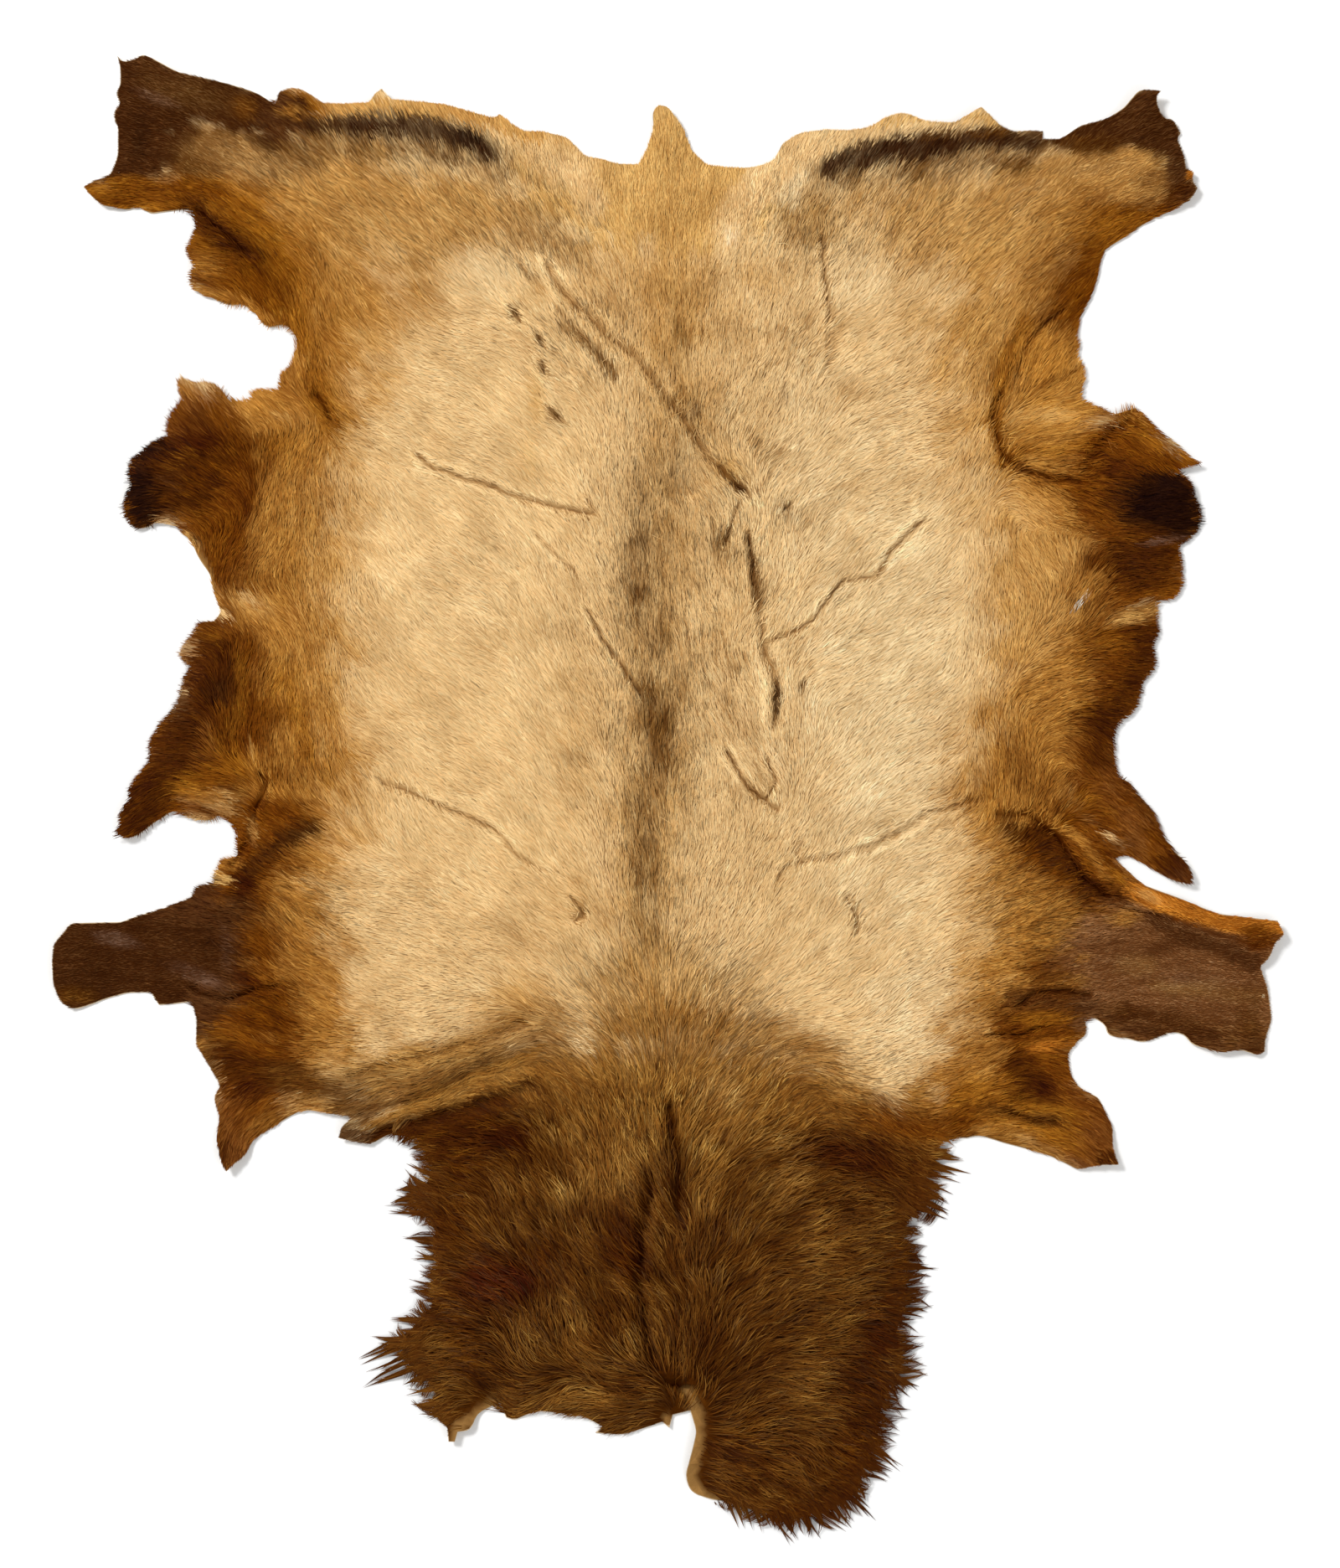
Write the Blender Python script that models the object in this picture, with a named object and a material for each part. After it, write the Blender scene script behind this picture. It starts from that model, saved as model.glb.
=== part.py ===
"""An elk hide with its hair on, laid flat with the hair up.

The hide is one piece: tanned skin with its coat, so it is one solid, a lumpy slab with locks at its
rim. Metres, +Z up. X runs across the hide and Y along it, with the tail towards +Y and the neck
towards -Y. The origin is the middle of the hide on the surface that it lies on.
"""
import math
import random
from collections import namedtuple

import bmesh
import bpy
from mathutils import Vector, kdtree, noise
from mathutils.geometry import delaunay_2d_cdt, intersect_point_line

# Driving dimensions, in metres
HIDE_LENGTH = 2.128
HIDE_WIDTH = 1.763
SKIN_THICKNESS = 0.002
BODY_PILE = 0.011

# Sizes of the coat, in millimetres
LUMP_SIZE = 75
LUMP_RISE = 2.2
CLUMP_ACROSS = 34
CLUMP_ALONG = 95
CLUMP_RISE = 6.5
MANE_PILE = 34
MANE_SLOPE = 85
COAT_SLOPE = 34
LOCK_TIP = 3
LOCK_ROOT = 11
FILLER_PITCH = 19
FILLER_LENGTH = (3, 10)
FILLER_LEAN = (0.45, 0.8)
LOCK_REACH = 80
HAIR_JITTER = 1.6
SEED = 11

# How steeply a zone or a curl fades out at its edge, and where small values stop
ZONE_FADE = 2.2
CURL_FADE = 1.3
SHORT_PILE = 8
LEAST_LIFT = 0.3

# Mesh pitches, in millimetres
EDGE_PITCH = 17
INNER_PITCH = 37
RING_PITCH = 34
FOLD_PITCH = 32
RING_INSET = 0.6 * COAT_SLOPE
CORNER_TURN = math.radians(52)
SHARP_TURN = math.radians(50)
LATTICE_LOOKBACK = 60
MERGE_DISTANCE = 1e-4
INSIDE_OUTLINE = 1

# How thick the slab is where each kind of edge ends, in millimetres
SKIN_EDGE = 3.0
COAT_EDGE = 5.5
EDGE_HEIGHT = {"skin": SKIN_EDGE, "coat": COAT_EDGE, "mane": LOCK_ROOT}

Stretch = namedtuple("Stretch", "name finish points")
Lock = namedtuple("Lock", "x y root_width")
Zone = namedtuple("Zone", "name x y reach_x reach_y pile")
Fold = namedtuple("Fold", "name half_width rise path")
Curl = namedtuple("Curl", "name x y reach lift")

# The outline, clockwise from the end of the left hind leg: points are (x, y) in millimetres
OUTLINE = (
    Stretch("left hind leg, top edge", "skin", (
        (-789, 1064), (-781, 1056), (-763, 1058), (-752, 1063), (-741, 1060), (-701, 1039),
        (-658, 1029), (-625, 1022), (-590, 1011), (-563, 994))),
    Stretch("left thigh", "skin", (
        (-556, 1011), (-536, 1016), (-518, 1011), (-497, 997), (-428, 997), (-420, 1007),
        (-409, 1015), (-400, 1001), (-347, 998), (-317, 994), (-286, 985), (-250, 976))),
    Stretch("left rump", "skin", (
        (-241, 981), (-229, 970), (-207, 957), (-183, 956), (-146, 947), (-118, 921), (-97, 917),
        (-73, 910), (-41, 909))),
    Stretch("tail", "skin", (
        (-29, 934), (-21, 961), (-21, 982), (-13, 992), (-1, 989), (20, 962), (35, 928), (56, 909))),
    Stretch("right rump", "skin", (
        (83, 905), (112, 904), (135, 908), (153, 917), (164, 937), (189, 953), (221, 958),
        (263, 958), (290, 963), (311, 975), (334, 982), (350, 979), (369, 971))),
    Stretch("right thigh", "skin", (
        (412, 969), (433, 980), (448, 989), (461, 977), (478, 963), (496, 956), (525, 957),
        (538, 956), (537, 945))),
    Stretch("right hind leg, top edge", "skin", (
        (563, 946), (592, 964), (629, 974), (653, 989), (674, 1011), (705, 1011))),
    Stretch("right hind leg, end", "skin", (
        (699, 1004), (701, 989), (711, 974), (723, 971), (735, 953), (730, 945), (739, 922),
        (742, 902), (753, 896), (751, 884), (758, 873))),
    Stretch("right hind leg, lower edge", "skin", (
        (749, 859), (725, 843), (694, 830), (659, 807), (627, 785), (620, 767), (614, 739),
        (603, 712), (592, 692))),
    Stretch("right groin", "coat", (
        (584, 664), (587, 650), (585, 638), (595, 614), (596, 593), (590, 571), (611, 562),
        (632, 547), (652, 555), (670, 561), (687, 542), (705, 524), (725, 507), (757, 478))),
    Stretch("right belly, upper lobe", "coat", (
        (727, 473), (706, 470), (740, 459), (754, 434), (760, 411), (757, 382), (731, 364))),
    Stretch("right belly, middle lobe", "coat", (
        (729, 356), (736, 338), (735, 309), (725, 289), (699, 280))),
    Stretch("right belly, lower lobe", "coat", (
        (701, 266), (700, 238), (695, 218), (698, 194), (680, 165), (671, 136), (664, 125))),
    Stretch("right chest", "coat", (
        (644, 104), (638, 89), (638, 69), (640, 46), (644, 31), (658, 22), (677, -1), (693, -19),
        (701, -39), (725, -76), (740, -91), (749, -111), (748, -123))),
    Stretch("right armpit", "skin", (
        (719, -116), (681, -94), (656, -82), (637, -89), (652, -98), (679, -123))),
    Stretch("right foreleg, top edge", "skin", (
        (731, -143), (789, -166), (837, -172), (872, -176), (881, -195))),
    Stretch("right foreleg, end", "skin", (
        (868, -209), (861, -227), (848, -242), (860, -277), (865, -319), (857, -344), (855, -364))),
    Stretch("right foreleg, lower edge", "skin", (
        (844, -368), (819, -361), (791, -364), (752, -353), (739, -340), (721, -337), (682, -350),
        (657, -345), (633, -340), (626, -326), (608, -315), (597, -315))),
    Stretch("right shoulder flap", "skin", (
        (599, -337), (584, -353), (574, -368), (578, -397), (591, -417), (617, -431), (626, -449),
        (637, -473), (637, -502), (645, -525))),
    Stretch("right shoulder, lower edge", "skin", (
        (619, -526), (587, -532), (573, -526), (544, -512), (482, -495), (446, -485), (411, -493))),
    Stretch("mane, right rim", "mane", (
        (399, -501), (385, -537), (387, -585), (357, -609), (353, -657), (351, -693), (353, -729),
        (341, -777), (345, -825), (325, -861), (317, -897), (303, -939), (291, -979), (273, -1011),
        (246, -1029), (213, -1041), (171, -1043), (125, -1036), (93, -1023))),
    Stretch("neck, right cut", "skin", (
        (61, -1011), (32, -992), (26, -971), (34, -937), (40, -908), (32, -879))),
    Stretch("neck, end cut", "skin", (
        (7, -885), (2, -903), (-8, -895), (-27, -902), (-65, -913), (-104, -911), (-92, -903),
        (-123, -887), (-155, -883), (-188, -880), (-220, -892), (-232, -889), (-241, -868))),
    Stretch("neck, left cut", "skin", (
        (-253, -873), (-272, -884), (-284, -904), (-301, -908), (-305, -922), (-314, -922),
        (-316, -902))),
    Stretch("mane, left rim", "mane", (
        (-349, -884), (-343, -859), (-363, -837), (-383, -813), (-393, -791), (-381, -755),
        (-347, -715), (-343, -687), (-343, -657), (-351, -633), (-347, -615), (-363, -599),
        (-375, -580), (-367, -551), (-350, -532), (-359, -511), (-373, -494))),
    Stretch("left shoulder, lower edge", "skin", (
        (-401, -489), (-430, -496), (-471, -487), (-466, -471), (-449, -458), (-489, -451),
        (-521, -447), (-545, -459), (-566, -472), (-592, -489), (-607, -513), (-623, -526),
        (-632, -535))),
    Stretch("left shoulder flap", "skin", (
        (-641, -514), (-646, -481), (-643, -460), (-650, -430), (-643, -413), (-663, -376),
        (-676, -353), (-676, -319), (-682, -292))),
    Stretch("left foreleg", "skin", (
        (-713, -296), (-730, -297), (-741, -279), (-775, -280), (-808, -289), (-829, -297),
        (-851, -302), (-868, -293), (-879, -268), (-881, -235), (-878, -209), (-867, -195),
        (-855, -181), (-784, -178), (-761, -170), (-721, -158), (-683, -142))),
    Stretch("left armpit", "coat", (
        (-674, -129), (-649, -124), (-650, -113), (-639, -89), (-616, -85), (-619, -65),
        (-619, -46), (-632, -31), (-644, -26), (-655, -33))),
    Stretch("left elbow lobe, lower edge", "coat", (
        (-669, -32), (-693, -23), (-711, -19), (-734, -35), (-763, -55), (-773, -58), (-789, -49))),
    Stretch("left elbow lobe, outer edge", "coat", (
        (-782, -41), (-785, -28), (-779, -13), (-770, -3), (-769, 11), (-764, 25), (-742, 52),
        (-740, 82), (-725, 107), (-716, 118), (-703, 133), (-699, 149), (-692, 172), (-681, 188),
        (-683, 200), (-694, 197), (-699, 207), (-682, 233), (-669, 251))),
    Stretch("left belly, bare spot", "skin", (
        (-651, 254), (-641, 267), (-646, 281), (-653, 303), (-657, 320), (-669, 338))),
    Stretch("left belly, black lobe", "coat", (
        (-682, 361), (-694, 382), (-703, 392), (-717, 397), (-735, 397), (-745, 389), (-761, 387),
        (-771, 395), (-777, 411), (-777, 429), (-770, 447), (-770, 463), (-767, 483), (-751, 495),
        (-740, 507), (-717, 517))),
    Stretch("left belly, upper lobe", "coat", (
        (-717, 537), (-707, 555), (-695, 569), (-699, 585), (-701, 598), (-679, 592), (-657, 592),
        (-640, 584), (-626, 568), (-615, 565))),
    Stretch("left groin", "coat", (
        (-597, 572), (-595, 583), (-575, 586), (-565, 581), (-555, 586), (-554, 605), (-543, 616),
        (-535, 639), (-533, 657), (-539, 670), (-549, 677), (-561, 677), (-571, 675))),
    Stretch("left groin flap", "coat", (
        (-580, 680), (-593, 694), (-609, 706), (-627, 707), (-651, 716), (-668, 725), (-681, 731),
        (-682, 751), (-675, 761), (-688, 783), (-686, 791), (-676, 813), (-673, 821), (-681, 837),
        (-681, 845))),
    Stretch("left hind leg, lower edge", "skin", (
        (-713, 842), (-742, 839), (-753, 845), (-761, 851), (-772, 844), (-794, 847), (-808, 849),
        (-824, 861), (-836, 875))),
    Stretch("left hind leg, end", "skin", (
        (-819, 884), (-801, 892), (-794, 905), (-789, 923), (-789, 963), (-793, 971), (-793, 985),
        (-785, 995), (-790, 1011), (-785, 1023), (-785, 1048))),
)

# The long locks of the mane's rim: where each tip lies and how wide its root is, in millimetres
LOCKS = (
    # tip x, tip y, root width
    Lock(409, -507, 18), Lock(423, -524, 20), Lock(433, -539, 22), Lock(404, -596, 26),
    Lock(368, -625, 20), Lock(371, -646, 20), Lock(369, -667, 18), Lock(377, -682, 22),
    Lock(380, -705, 24), Lock(382, -733, 30), Lock(368, -785, 24), Lock(373, -821, 28),
    Lock(355, -842, 20), Lock(347, -880, 28), Lock(333, -903, 22), Lock(328, -933, 26),
    Lock(321, -970, 30), Lock(265, -1042, 30), Lock(254, -1052, 20), Lock(206, -1064, 30),
    Lock(179, -1058, 24), Lock(-371, -869, 18), Lock(-371, -849, 16), Lock(-440, -839, 28),
    Lock(-438, -812, 26), Lock(-416, -781, 24), Lock(-371, -699, 20),
    Lock(-358, -680, 18), Lock(-381, -632, 24), Lock(-382, -596, 24), Lock(-398, -577, 22),
    Lock(-392, -562, 20),
)

# Where the coat is longer or shorter than on the body, in millimetres
ZONES = (
    # name, x, y, reach x, reach y, pile
    Zone("spine", 0, 60, 190, 900, 14),
    Zone("mane", 0, -800, 520, 430, MANE_PILE),
    Zone("throat", 10, -470, 330, 170, 20),
    Zone("rump", 20, 860, 330, 130, 8),
    Zone("left hind leg", -730, 950, 250, 140, 4),
    Zone("right hind leg", 700, 910, 210, 150, 4),
    Zone("left foreleg", -790, -235, 180, 110, 4),
    Zone("right foreleg", 760, -260, 220, 140, 4),
    Zone("left shoulder flap", -600, -420, 110, 130, 6),
    Zone("right shoulder flap", 590, -450, 110, 120, 6),
    Zone("left black lobe", -745, 450, 130, 130, 17),
    Zone("left upper lobe", -640, 540, 130, 80, 17),
    Zone("left elbow lobe", -710, 70, 150, 190, 16),
    Zone("left bare spot", -640, 268, 40, 34, 3),
    Zone("right upper lobe", 710, 440, 120, 100, 17),
    Zone("right middle lobe", 700, 315, 90, 60, 15),
    Zone("right lower lobe", 670, 190, 90, 110, 14),
    Zone("right chest", 680, -40, 80, 90, 13),
    Zone("neck left cut", -275, -885, 70, 44, 3),
    Zone("neck end cut", -70, -900, 130, 26, 9),
    Zone("neck right cut", 32, -950, 46, 100, 5),
)

# Creases (rise below zero) and ridges in the coat: paths are (x, y) in millimetres
FOLDS = (
    # name, half width, rise, path
    Fold("left neck fold", 26, 13, ((-177, -315), (-285, -369), (-405, -441), (-469, -479))),
    Fold("left neck hollow", 18, -7, ((-200, -362), (-300, -418), (-395, -470))),
    Fold("upper diagonal", 15, -5, ((-213, 759), (-141, 681), (-75, 609), (3, 543), (63, 471), (105, 429))),
    Fold("upper tufts", 15, 6, ((-189, 663), (-183, 615), (-165, 549))),
    Fold("left rib crease", 15, -5, ((-357, 495), (-285, 453), (-213, 435), (-93, 405))),
    Fold("spine crease", 15, -5, ((105, 423), (117, 351), (129, 279), (141, 219), (159, 147), (153, 87))),
    Fold("right rib crease", 15, -5, ((141, 219), (195, 249), (243, 297), (315, 339), (357, 387))),
    Fold("small hook", 13, -4, ((93, 63), (129, 15), (165, -15))),
    Fold("left back crease", 16, -4, ((-189, 375), (-117, 285), (-69, 195), (-33, 123))),
    Fold("left loin crease", 16, -4, ((-453, 39), (-381, 21), (-285, -27), (-171, -99))),
    Fold("right loin crease", 16, -4, ((453, -3), (363, -39), (267, -81), (171, -99))),
    Fold("hind leg over flap", 20, 8, ((-676, 852), (-630, 806), (-585, 762))),
    Fold("flap under hind leg", 16, -5, ((-660, 815), (-628, 775), (-600, 735))),
    Fold("left elbow slit", 12, -7, ((-585, 33), (-575, 17), (-593, -15), (-597, -57))),
    Fold("left elbow crease", 18, -5, ((-757, -39), (-710, 0), (-657, 33), (-597, 69))),
    Fold("mane parting", 24, -9, ((9, -513), (3, -600), (-9, -729), (10, -850))),
    Fold("right armpit fold", 18, 6, ((650, -120), (600, -105), (540, -110))),
    Fold("left armpit fold", 18, 6, ((-640, -150), (-570, -160), (-500, -150))),
    Fold("left groin pucker", 16, 5, ((-500, 575), (-477, 531))),
    Fold("right groin pucker", 16, 5, ((471, 543), (495, 471))),
)

# Where the skin's edge stands off the surface, in millimetres
CURLS = (
    # name, x, y, reach, lift
    Curl("left hind leg, top", -700, 1060, 120, 15),
    Curl("left hind leg, tip", -850, 870, 90, 12),
    Curl("left thigh", -530, 1030, 70, 12),
    Curl("left thigh notch", -410, 1025, 60, 13),
    Curl("tail", -5, 1005, 75, 10),
    Curl("right thigh", 450, 1005, 75, 14),
    Curl("right hind leg, top", 690, 1030, 100, 18),
    Curl("right hind leg, end", 775, 870, 80, 12),
    Curl("right belly", 775, 470, 70, 9),
    Curl("right chest", 765, -115, 70, 11),
    Curl("right foreleg, end", 900, -200, 110, 16),
    Curl("right foreleg, lower edge", 800, -390, 90, 11),
    Curl("right shoulder flap", 655, -540, 90, 14),
    Curl("neck, right cut", 25, -930, 60, 10),
    Curl("neck, left cut", -290, -930, 70, 12),
    Curl("left neck fold", -490, -485, 60, 12),
    Curl("left shoulder flap", -645, -545, 90, 14),
    Curl("left foreleg, end", -905, -240, 110, 13),
    Curl("left elbow", -805, -45, 80, 10),
    Curl("left black lobe", -795, 425, 60, 8),
    Curl("left groin flap", -705, 770, 60, 9),
)


def clear_scene():
    for item in list(bpy.data.objects):
        bpy.data.objects.remove(item, do_unlink=True)


def smoothstep(value):
    value = min(max(value, 0.0), 1.0)
    return value * value * (3 - 2 * value)


def is_corner(before, here, after):
    """True where the outline turns too sharply for a curve."""
    return (here - before).angle(after - here, 0.0) > CORNER_TURN


def curve_between(before, start, end, after, pitch):
    """Points from start, without end, along a Catmull-Rom curve."""
    steps = max(1, round((end - start).length / pitch))
    reach = (end - start).length
    leave = (end - before).normalized() * reach / 2
    arrive = (after - start).normalized() * reach / 2
    points = []
    for step in range(steps):
        t = step / steps
        hermite = (2 * t ** 3 - 3 * t ** 2 + 1, t ** 3 - 2 * t ** 2 + t,
                   3 * t ** 2 - 2 * t ** 3, t ** 3 - t ** 2)
        points.append(hermite[0] * start + hermite[1] * leave + hermite[2] * end + hermite[3] * arrive)
    return points


def smooth_stretches():
    """The outline as (point, finish) pairs, curved between its corners."""
    rows = [(Vector(point), stretch.finish) for stretch in OUTLINE for point in stretch.points]
    count = len(rows)
    sampled = []
    for index, (start, finish) in enumerate(rows):
        before, end, after = rows[index - 1][0], rows[(index + 1) % count][0], rows[(index + 2) % count][0]
        if is_corner(before, start, end):
            before = start
        if is_corner(start, end, after):
            after = end
        sampled += [(point, finish) for point in curve_between(before, start, end, after, EDGE_PITCH)]
    return sampled


def along(path, lengths, distance):
    """The point at a distance along a path, and the outward side there for a clockwise path."""
    distance = min(max(distance, 0.0), lengths[-1] - 1e-6)
    index = max(i for i, length in enumerate(lengths) if length <= distance)
    step = path[index + 1] - path[index]
    point = path[index] + step * (distance - lengths[index]) / step.length
    return point, Vector((-step.y, step.x)).normalized()


def rim_with_locks(path, chance):
    """A stretch of the mane's rim as (point, height) pairs, with long locks and short ones between."""
    lengths = [0.0]
    for start, end in zip(path, path[1:]):
        lengths.append(lengths[-1] + (end - start).length)
    spans = []
    for lock in LOCKS:
        tip = Vector((lock.x, lock.y))
        samples = [(along(path, lengths, s)[0] - tip).length for s in range(int(lengths[-1]))]
        if min(samples) < LOCK_REACH:
            middle = samples.index(min(samples))
            spans.append((middle - lock.root_width / 2, middle + lock.root_width / 2, tip))
    spans.sort(key=lambda span: span[0])
    rim = []
    reached = 0.0
    for start, end, tip in spans + [(lengths[-1], lengths[-1], None)]:
        start = max(start, reached)
        fillers = int((start - reached) / FILLER_PITCH)
        for filler in range(fillers):
            width = (start - reached) / fillers
            root = reached + filler * width
            middle, outward = along(path, lengths, root + width * chance.uniform(*FILLER_LEAN))
            rim.append((along(path, lengths, root)[0], LOCK_ROOT))
            rim.append((middle + outward * chance.uniform(*FILLER_LENGTH), LOCK_TIP))
        if tip is not None and end > start:
            rim.append((along(path, lengths, start)[0], LOCK_ROOT))
            rim.append((tip, LOCK_TIP))
            reached = end
    rim.append((path[-1], LOCK_ROOT))
    return rim


def make_rim():
    """The whole outline as (point, height of the slab there) pairs, clockwise."""
    chance = random.Random(SEED)
    sampled = smooth_stretches()
    rim = []
    index = 0
    while index < len(sampled):
        point, finish = sampled[index]
        if finish == "mane":
            path = []
            while sampled[index][1] == "mane":
                path.append(sampled[index][0])
                index += 1
            rim += rim_with_locks(path, chance)
            continue
        if finish == "coat":
            point = point + Vector((chance.uniform(-1, 1), chance.uniform(-1, 1))) * HAIR_JITTER
        rim.append((point, EDGE_HEIGHT[finish]))
        index += 1
    return rim


def inside(point, ring):
    """True where the point lies inside a closed ring of points."""
    crossings = 0
    for start, end in zip(ring, ring[1:] + ring[:1]):
        if (start.y > point.y) != (end.y > point.y):
            crossings += point.x < start.x + (point.y - start.y) / (end.y - start.y) * (end.x - start.x)
    return crossings % 2 == 1


def fold_points():
    """Points on each fold's middle line and on both of its sides."""
    points = []
    for fold in FOLDS:
        for start, end in zip(map(Vector, fold.path), map(Vector, fold.path[1:])):
            step = end - start
            side = Vector((-step.y, step.x)).normalized() * fold.half_width
            steps = max(1, round(step.length / FOLD_PITCH))
            for index in range(steps + 1):
                middle = start + step * index / steps
                points += [middle, middle + side, middle - side]
    return points


def lattice_points():
    """A triangular lattice over the whole hide."""
    points = []
    rows = int(HIDE_LENGTH * 1000 / INNER_PITCH / math.sin(math.radians(60)) / 2)
    columns = int(HIDE_WIDTH * 1000 / INNER_PITCH / 2)
    for row in range(-rows, rows + 1):
        for column in range(-columns, columns + 1):
            x = (column + 0.5 * (row % 2)) * INNER_PITCH
            points.append(Vector((x, row * INNER_PITCH * math.sin(math.radians(60)))))
    return points


def ring_points(ring):
    """Points a coat's slope inside the rim, where the pile has reached its height."""
    points = []
    travelled = 0.0
    for start, end in zip(ring, ring[1:] + ring[:1]):
        travelled += (end - start).length
        if travelled > RING_PITCH:
            inward = Vector((end.y - start.y, start.x - end.x)).normalized()
            points.append((start + end) / 2 + inward * RING_INSET)
            travelled = 0.0
    return points


def tree_of(points):
    tree = kdtree.KDTree(len(points))
    for index, point in enumerate(points):
        tree.insert(point.to_3d(), index)
    tree.balance()
    return tree


def choose_inner_points(ring):
    """Inner points, folds first, each far enough from the rim and from those already chosen."""
    rim_tree = tree_of(ring)
    chosen = []
    groups = (
        # points, least distance from the rim, least distance from each other
        (fold_points(), 13, 13),
        (ring_points(ring), 15, 20),
        (lattice_points(), 20, 25),
    )
    for points, rim_gap, own_gap in groups:
        kept = []
        tree = tree_of(chosen) if chosen else None
        for point in points:
            if rim_tree.find(point.to_3d())[2] < rim_gap or not inside(point, ring):
                continue
            if tree and tree.find(point.to_3d())[2] < own_gap:
                continue
            if all((point - other).length > own_gap for other in kept[-LATTICE_LOOKBACK:]):
                kept.append(point)
        chosen += kept
    return chosen


def pile_at(x, y):
    """The coat's own height at a place, in millimetres."""
    pile = BODY_PILE * 1000
    for zone in ZONES:
        nearness = 1 - math.hypot((x - zone.x) / zone.reach_x, (y - zone.y) / zone.reach_y)
        pile += (zone.pile - pile) * smoothstep(nearness * ZONE_FADE)
    return pile


def folds_at(point):
    """What the creases and ridges add to the coat at a place, in millimetres."""
    total = 0.0
    for fold in FOLDS:
        nearest = 1e9
        for start, end in zip(map(Vector, fold.path), map(Vector, fold.path[1:])):
            foot, share = intersect_point_line(point, start, end)
            foot = start if share < 0 else end if share > 1 else foot.to_2d()
            nearest = min(nearest, (point - foot).length)
        total += fold.rise * math.exp(-(nearest / fold.half_width) ** 2)
    return total


def lumps_at(x, y, pile):
    """Soft lumps on the body, and long clumps where the pile is as deep as the mane's."""
    lump = noise.noise(Vector((x / LUMP_SIZE, y / LUMP_SIZE, 0.5))) * LUMP_RISE
    clump = noise.noise(Vector((x / CLUMP_ACROSS, y / CLUMP_ALONG, 4.5))) * CLUMP_RISE
    shag = smoothstep((pile - BODY_PILE * 1000) / (MANE_PILE - BODY_PILE * 1000))
    return lump * min(1.0, pile / SHORT_PILE) * 2 + clump * shag * 2


def lift_at(x, y):
    """How far the skin stands off the surface at a place, in millimetres."""
    lift = 0.0
    for curl in CURLS:
        nearness = 1 - math.hypot(x - curl.x, y - curl.y) / curl.reach
        lift = max(lift, curl.lift * smoothstep(nearness * CURL_FADE))
    return lift if lift > LEAST_LIFT else 0.0


def slab_height(point, rim_distance, rim_height):
    """The slab's thickness inside the rim, in millimetres."""
    pile = pile_at(point.x, point.y)
    deep = smoothstep((pile - BODY_PILE * 1000) / (MANE_PILE - BODY_PILE * 1000))
    slope = COAT_SLOPE + (MANE_SLOPE - COAT_SLOPE) * deep
    share = math.sqrt(smoothstep(rim_distance / slope))
    full = SKIN_THICKNESS * 1000 + pile + lumps_at(point.x, point.y, pile) + folds_at(point)
    height = rim_height + (full - rim_height) * share
    return max(height, SKIN_EDGE)


def make_hide():
    """A flat sheet of triangles inside the outline, raised into a closed lumpy slab."""
    rim = make_rim()
    ring = [point for point, height in rim]
    low_x, high_x = min(p.x for p in ring), max(p.x for p in ring)
    low_y, high_y = min(p.y for p in ring), max(p.y for p in ring)
    to_metres = Vector((HIDE_WIDTH / (high_x - low_x), HIDE_LENGTH / (high_y - low_y)))
    middle = Vector(((low_x + high_x) / 2, (low_y + high_y) / 2))

    points = ring + choose_inner_points(ring)
    edges = [(index, (index + 1) % len(ring)) for index in range(len(ring))]
    flat_points, _, faces, sources, _, _ = delaunay_2d_cdt(
        points, edges, [], INSIDE_OUTLINE, MERGE_DISTANCE)

    rim_tree = tree_of(ring)
    mesh = bpy.data.meshes.new("hide")
    body = bmesh.new()
    heights = []
    for point, source in zip(flat_points, sources):
        place = (point - middle) * to_metres
        body.verts.new((place.x, place.y, lift_at(point.x, point.y) / 1000))
        if source and source[0] < len(ring):
            heights.append(rim[source[0]][1])
        else:
            _, nearest, distance = rim_tree.find(point.to_3d())
            heights.append(slab_height(point, distance, rim[nearest][1]))
    body.verts.ensure_lookup_table()
    for face in faces:
        body.faces.new([body.verts[index] for index in face])
    layer = body.verts.layers.float.new("slab_height")
    for vert, height in zip(body.verts, heights):
        vert[layer] = height / 1000

    raised = bmesh.ops.extrude_face_region(body, geom=body.faces[:], use_keep_orig=True)
    for item in raised["geom"]:
        if isinstance(item, bmesh.types.BMVert):
            item.co.z += item[layer]
    bmesh.ops.recalc_face_normals(body, faces=body.faces[:])
    bmesh.ops.triangulate(body, faces=body.faces[:])
    body.to_mesh(mesh)
    body.free()
    mesh.set_sharp_from_angle(angle=SHARP_TURN)
    print(f"rim {len(ring)} points, sheet {len(flat_points)} points, slab {len(mesh.polygons)} triangles")
    return bpy.data.objects.new("hide", mesh)


def make_coat_material():
    material = bpy.data.materials.new("elk_coat")
    material.use_nodes = True
    shader = material.node_tree.nodes["Principled BSDF"]
    shader.inputs["Base Color"].default_value = (0.42, 0.26, 0.11, 1)
    shader.inputs["Roughness"].default_value = 0.8
    shader.inputs["Metallic"].default_value = 0.0
    return material


def main():
    clear_scene()
    collection = bpy.data.collections.new("elk_hide")
    bpy.context.scene.collection.children.link(collection)
    hide = make_hide()
    hide.data.materials.append(make_coat_material())
    collection.objects.link(hide)


main()
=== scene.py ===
# %% [markdown]
# An elk hide is the tanned skin of the animal with its hair still on, cut open along the belly and
# laid flat. From above nothing shows but hair: a short straw coat on the back, rust on the flanks,
# smooth dark hair on the legs, and a long shaggy mane on the neck. The packed solid is a plain lumpy
# slab, so it only says where the hide is. This lesson grows the real thing on it: a thin leather
# sheet, a layer of underwool, and over three hundred thousand hairs as mesh leaves and ribbons.

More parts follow.
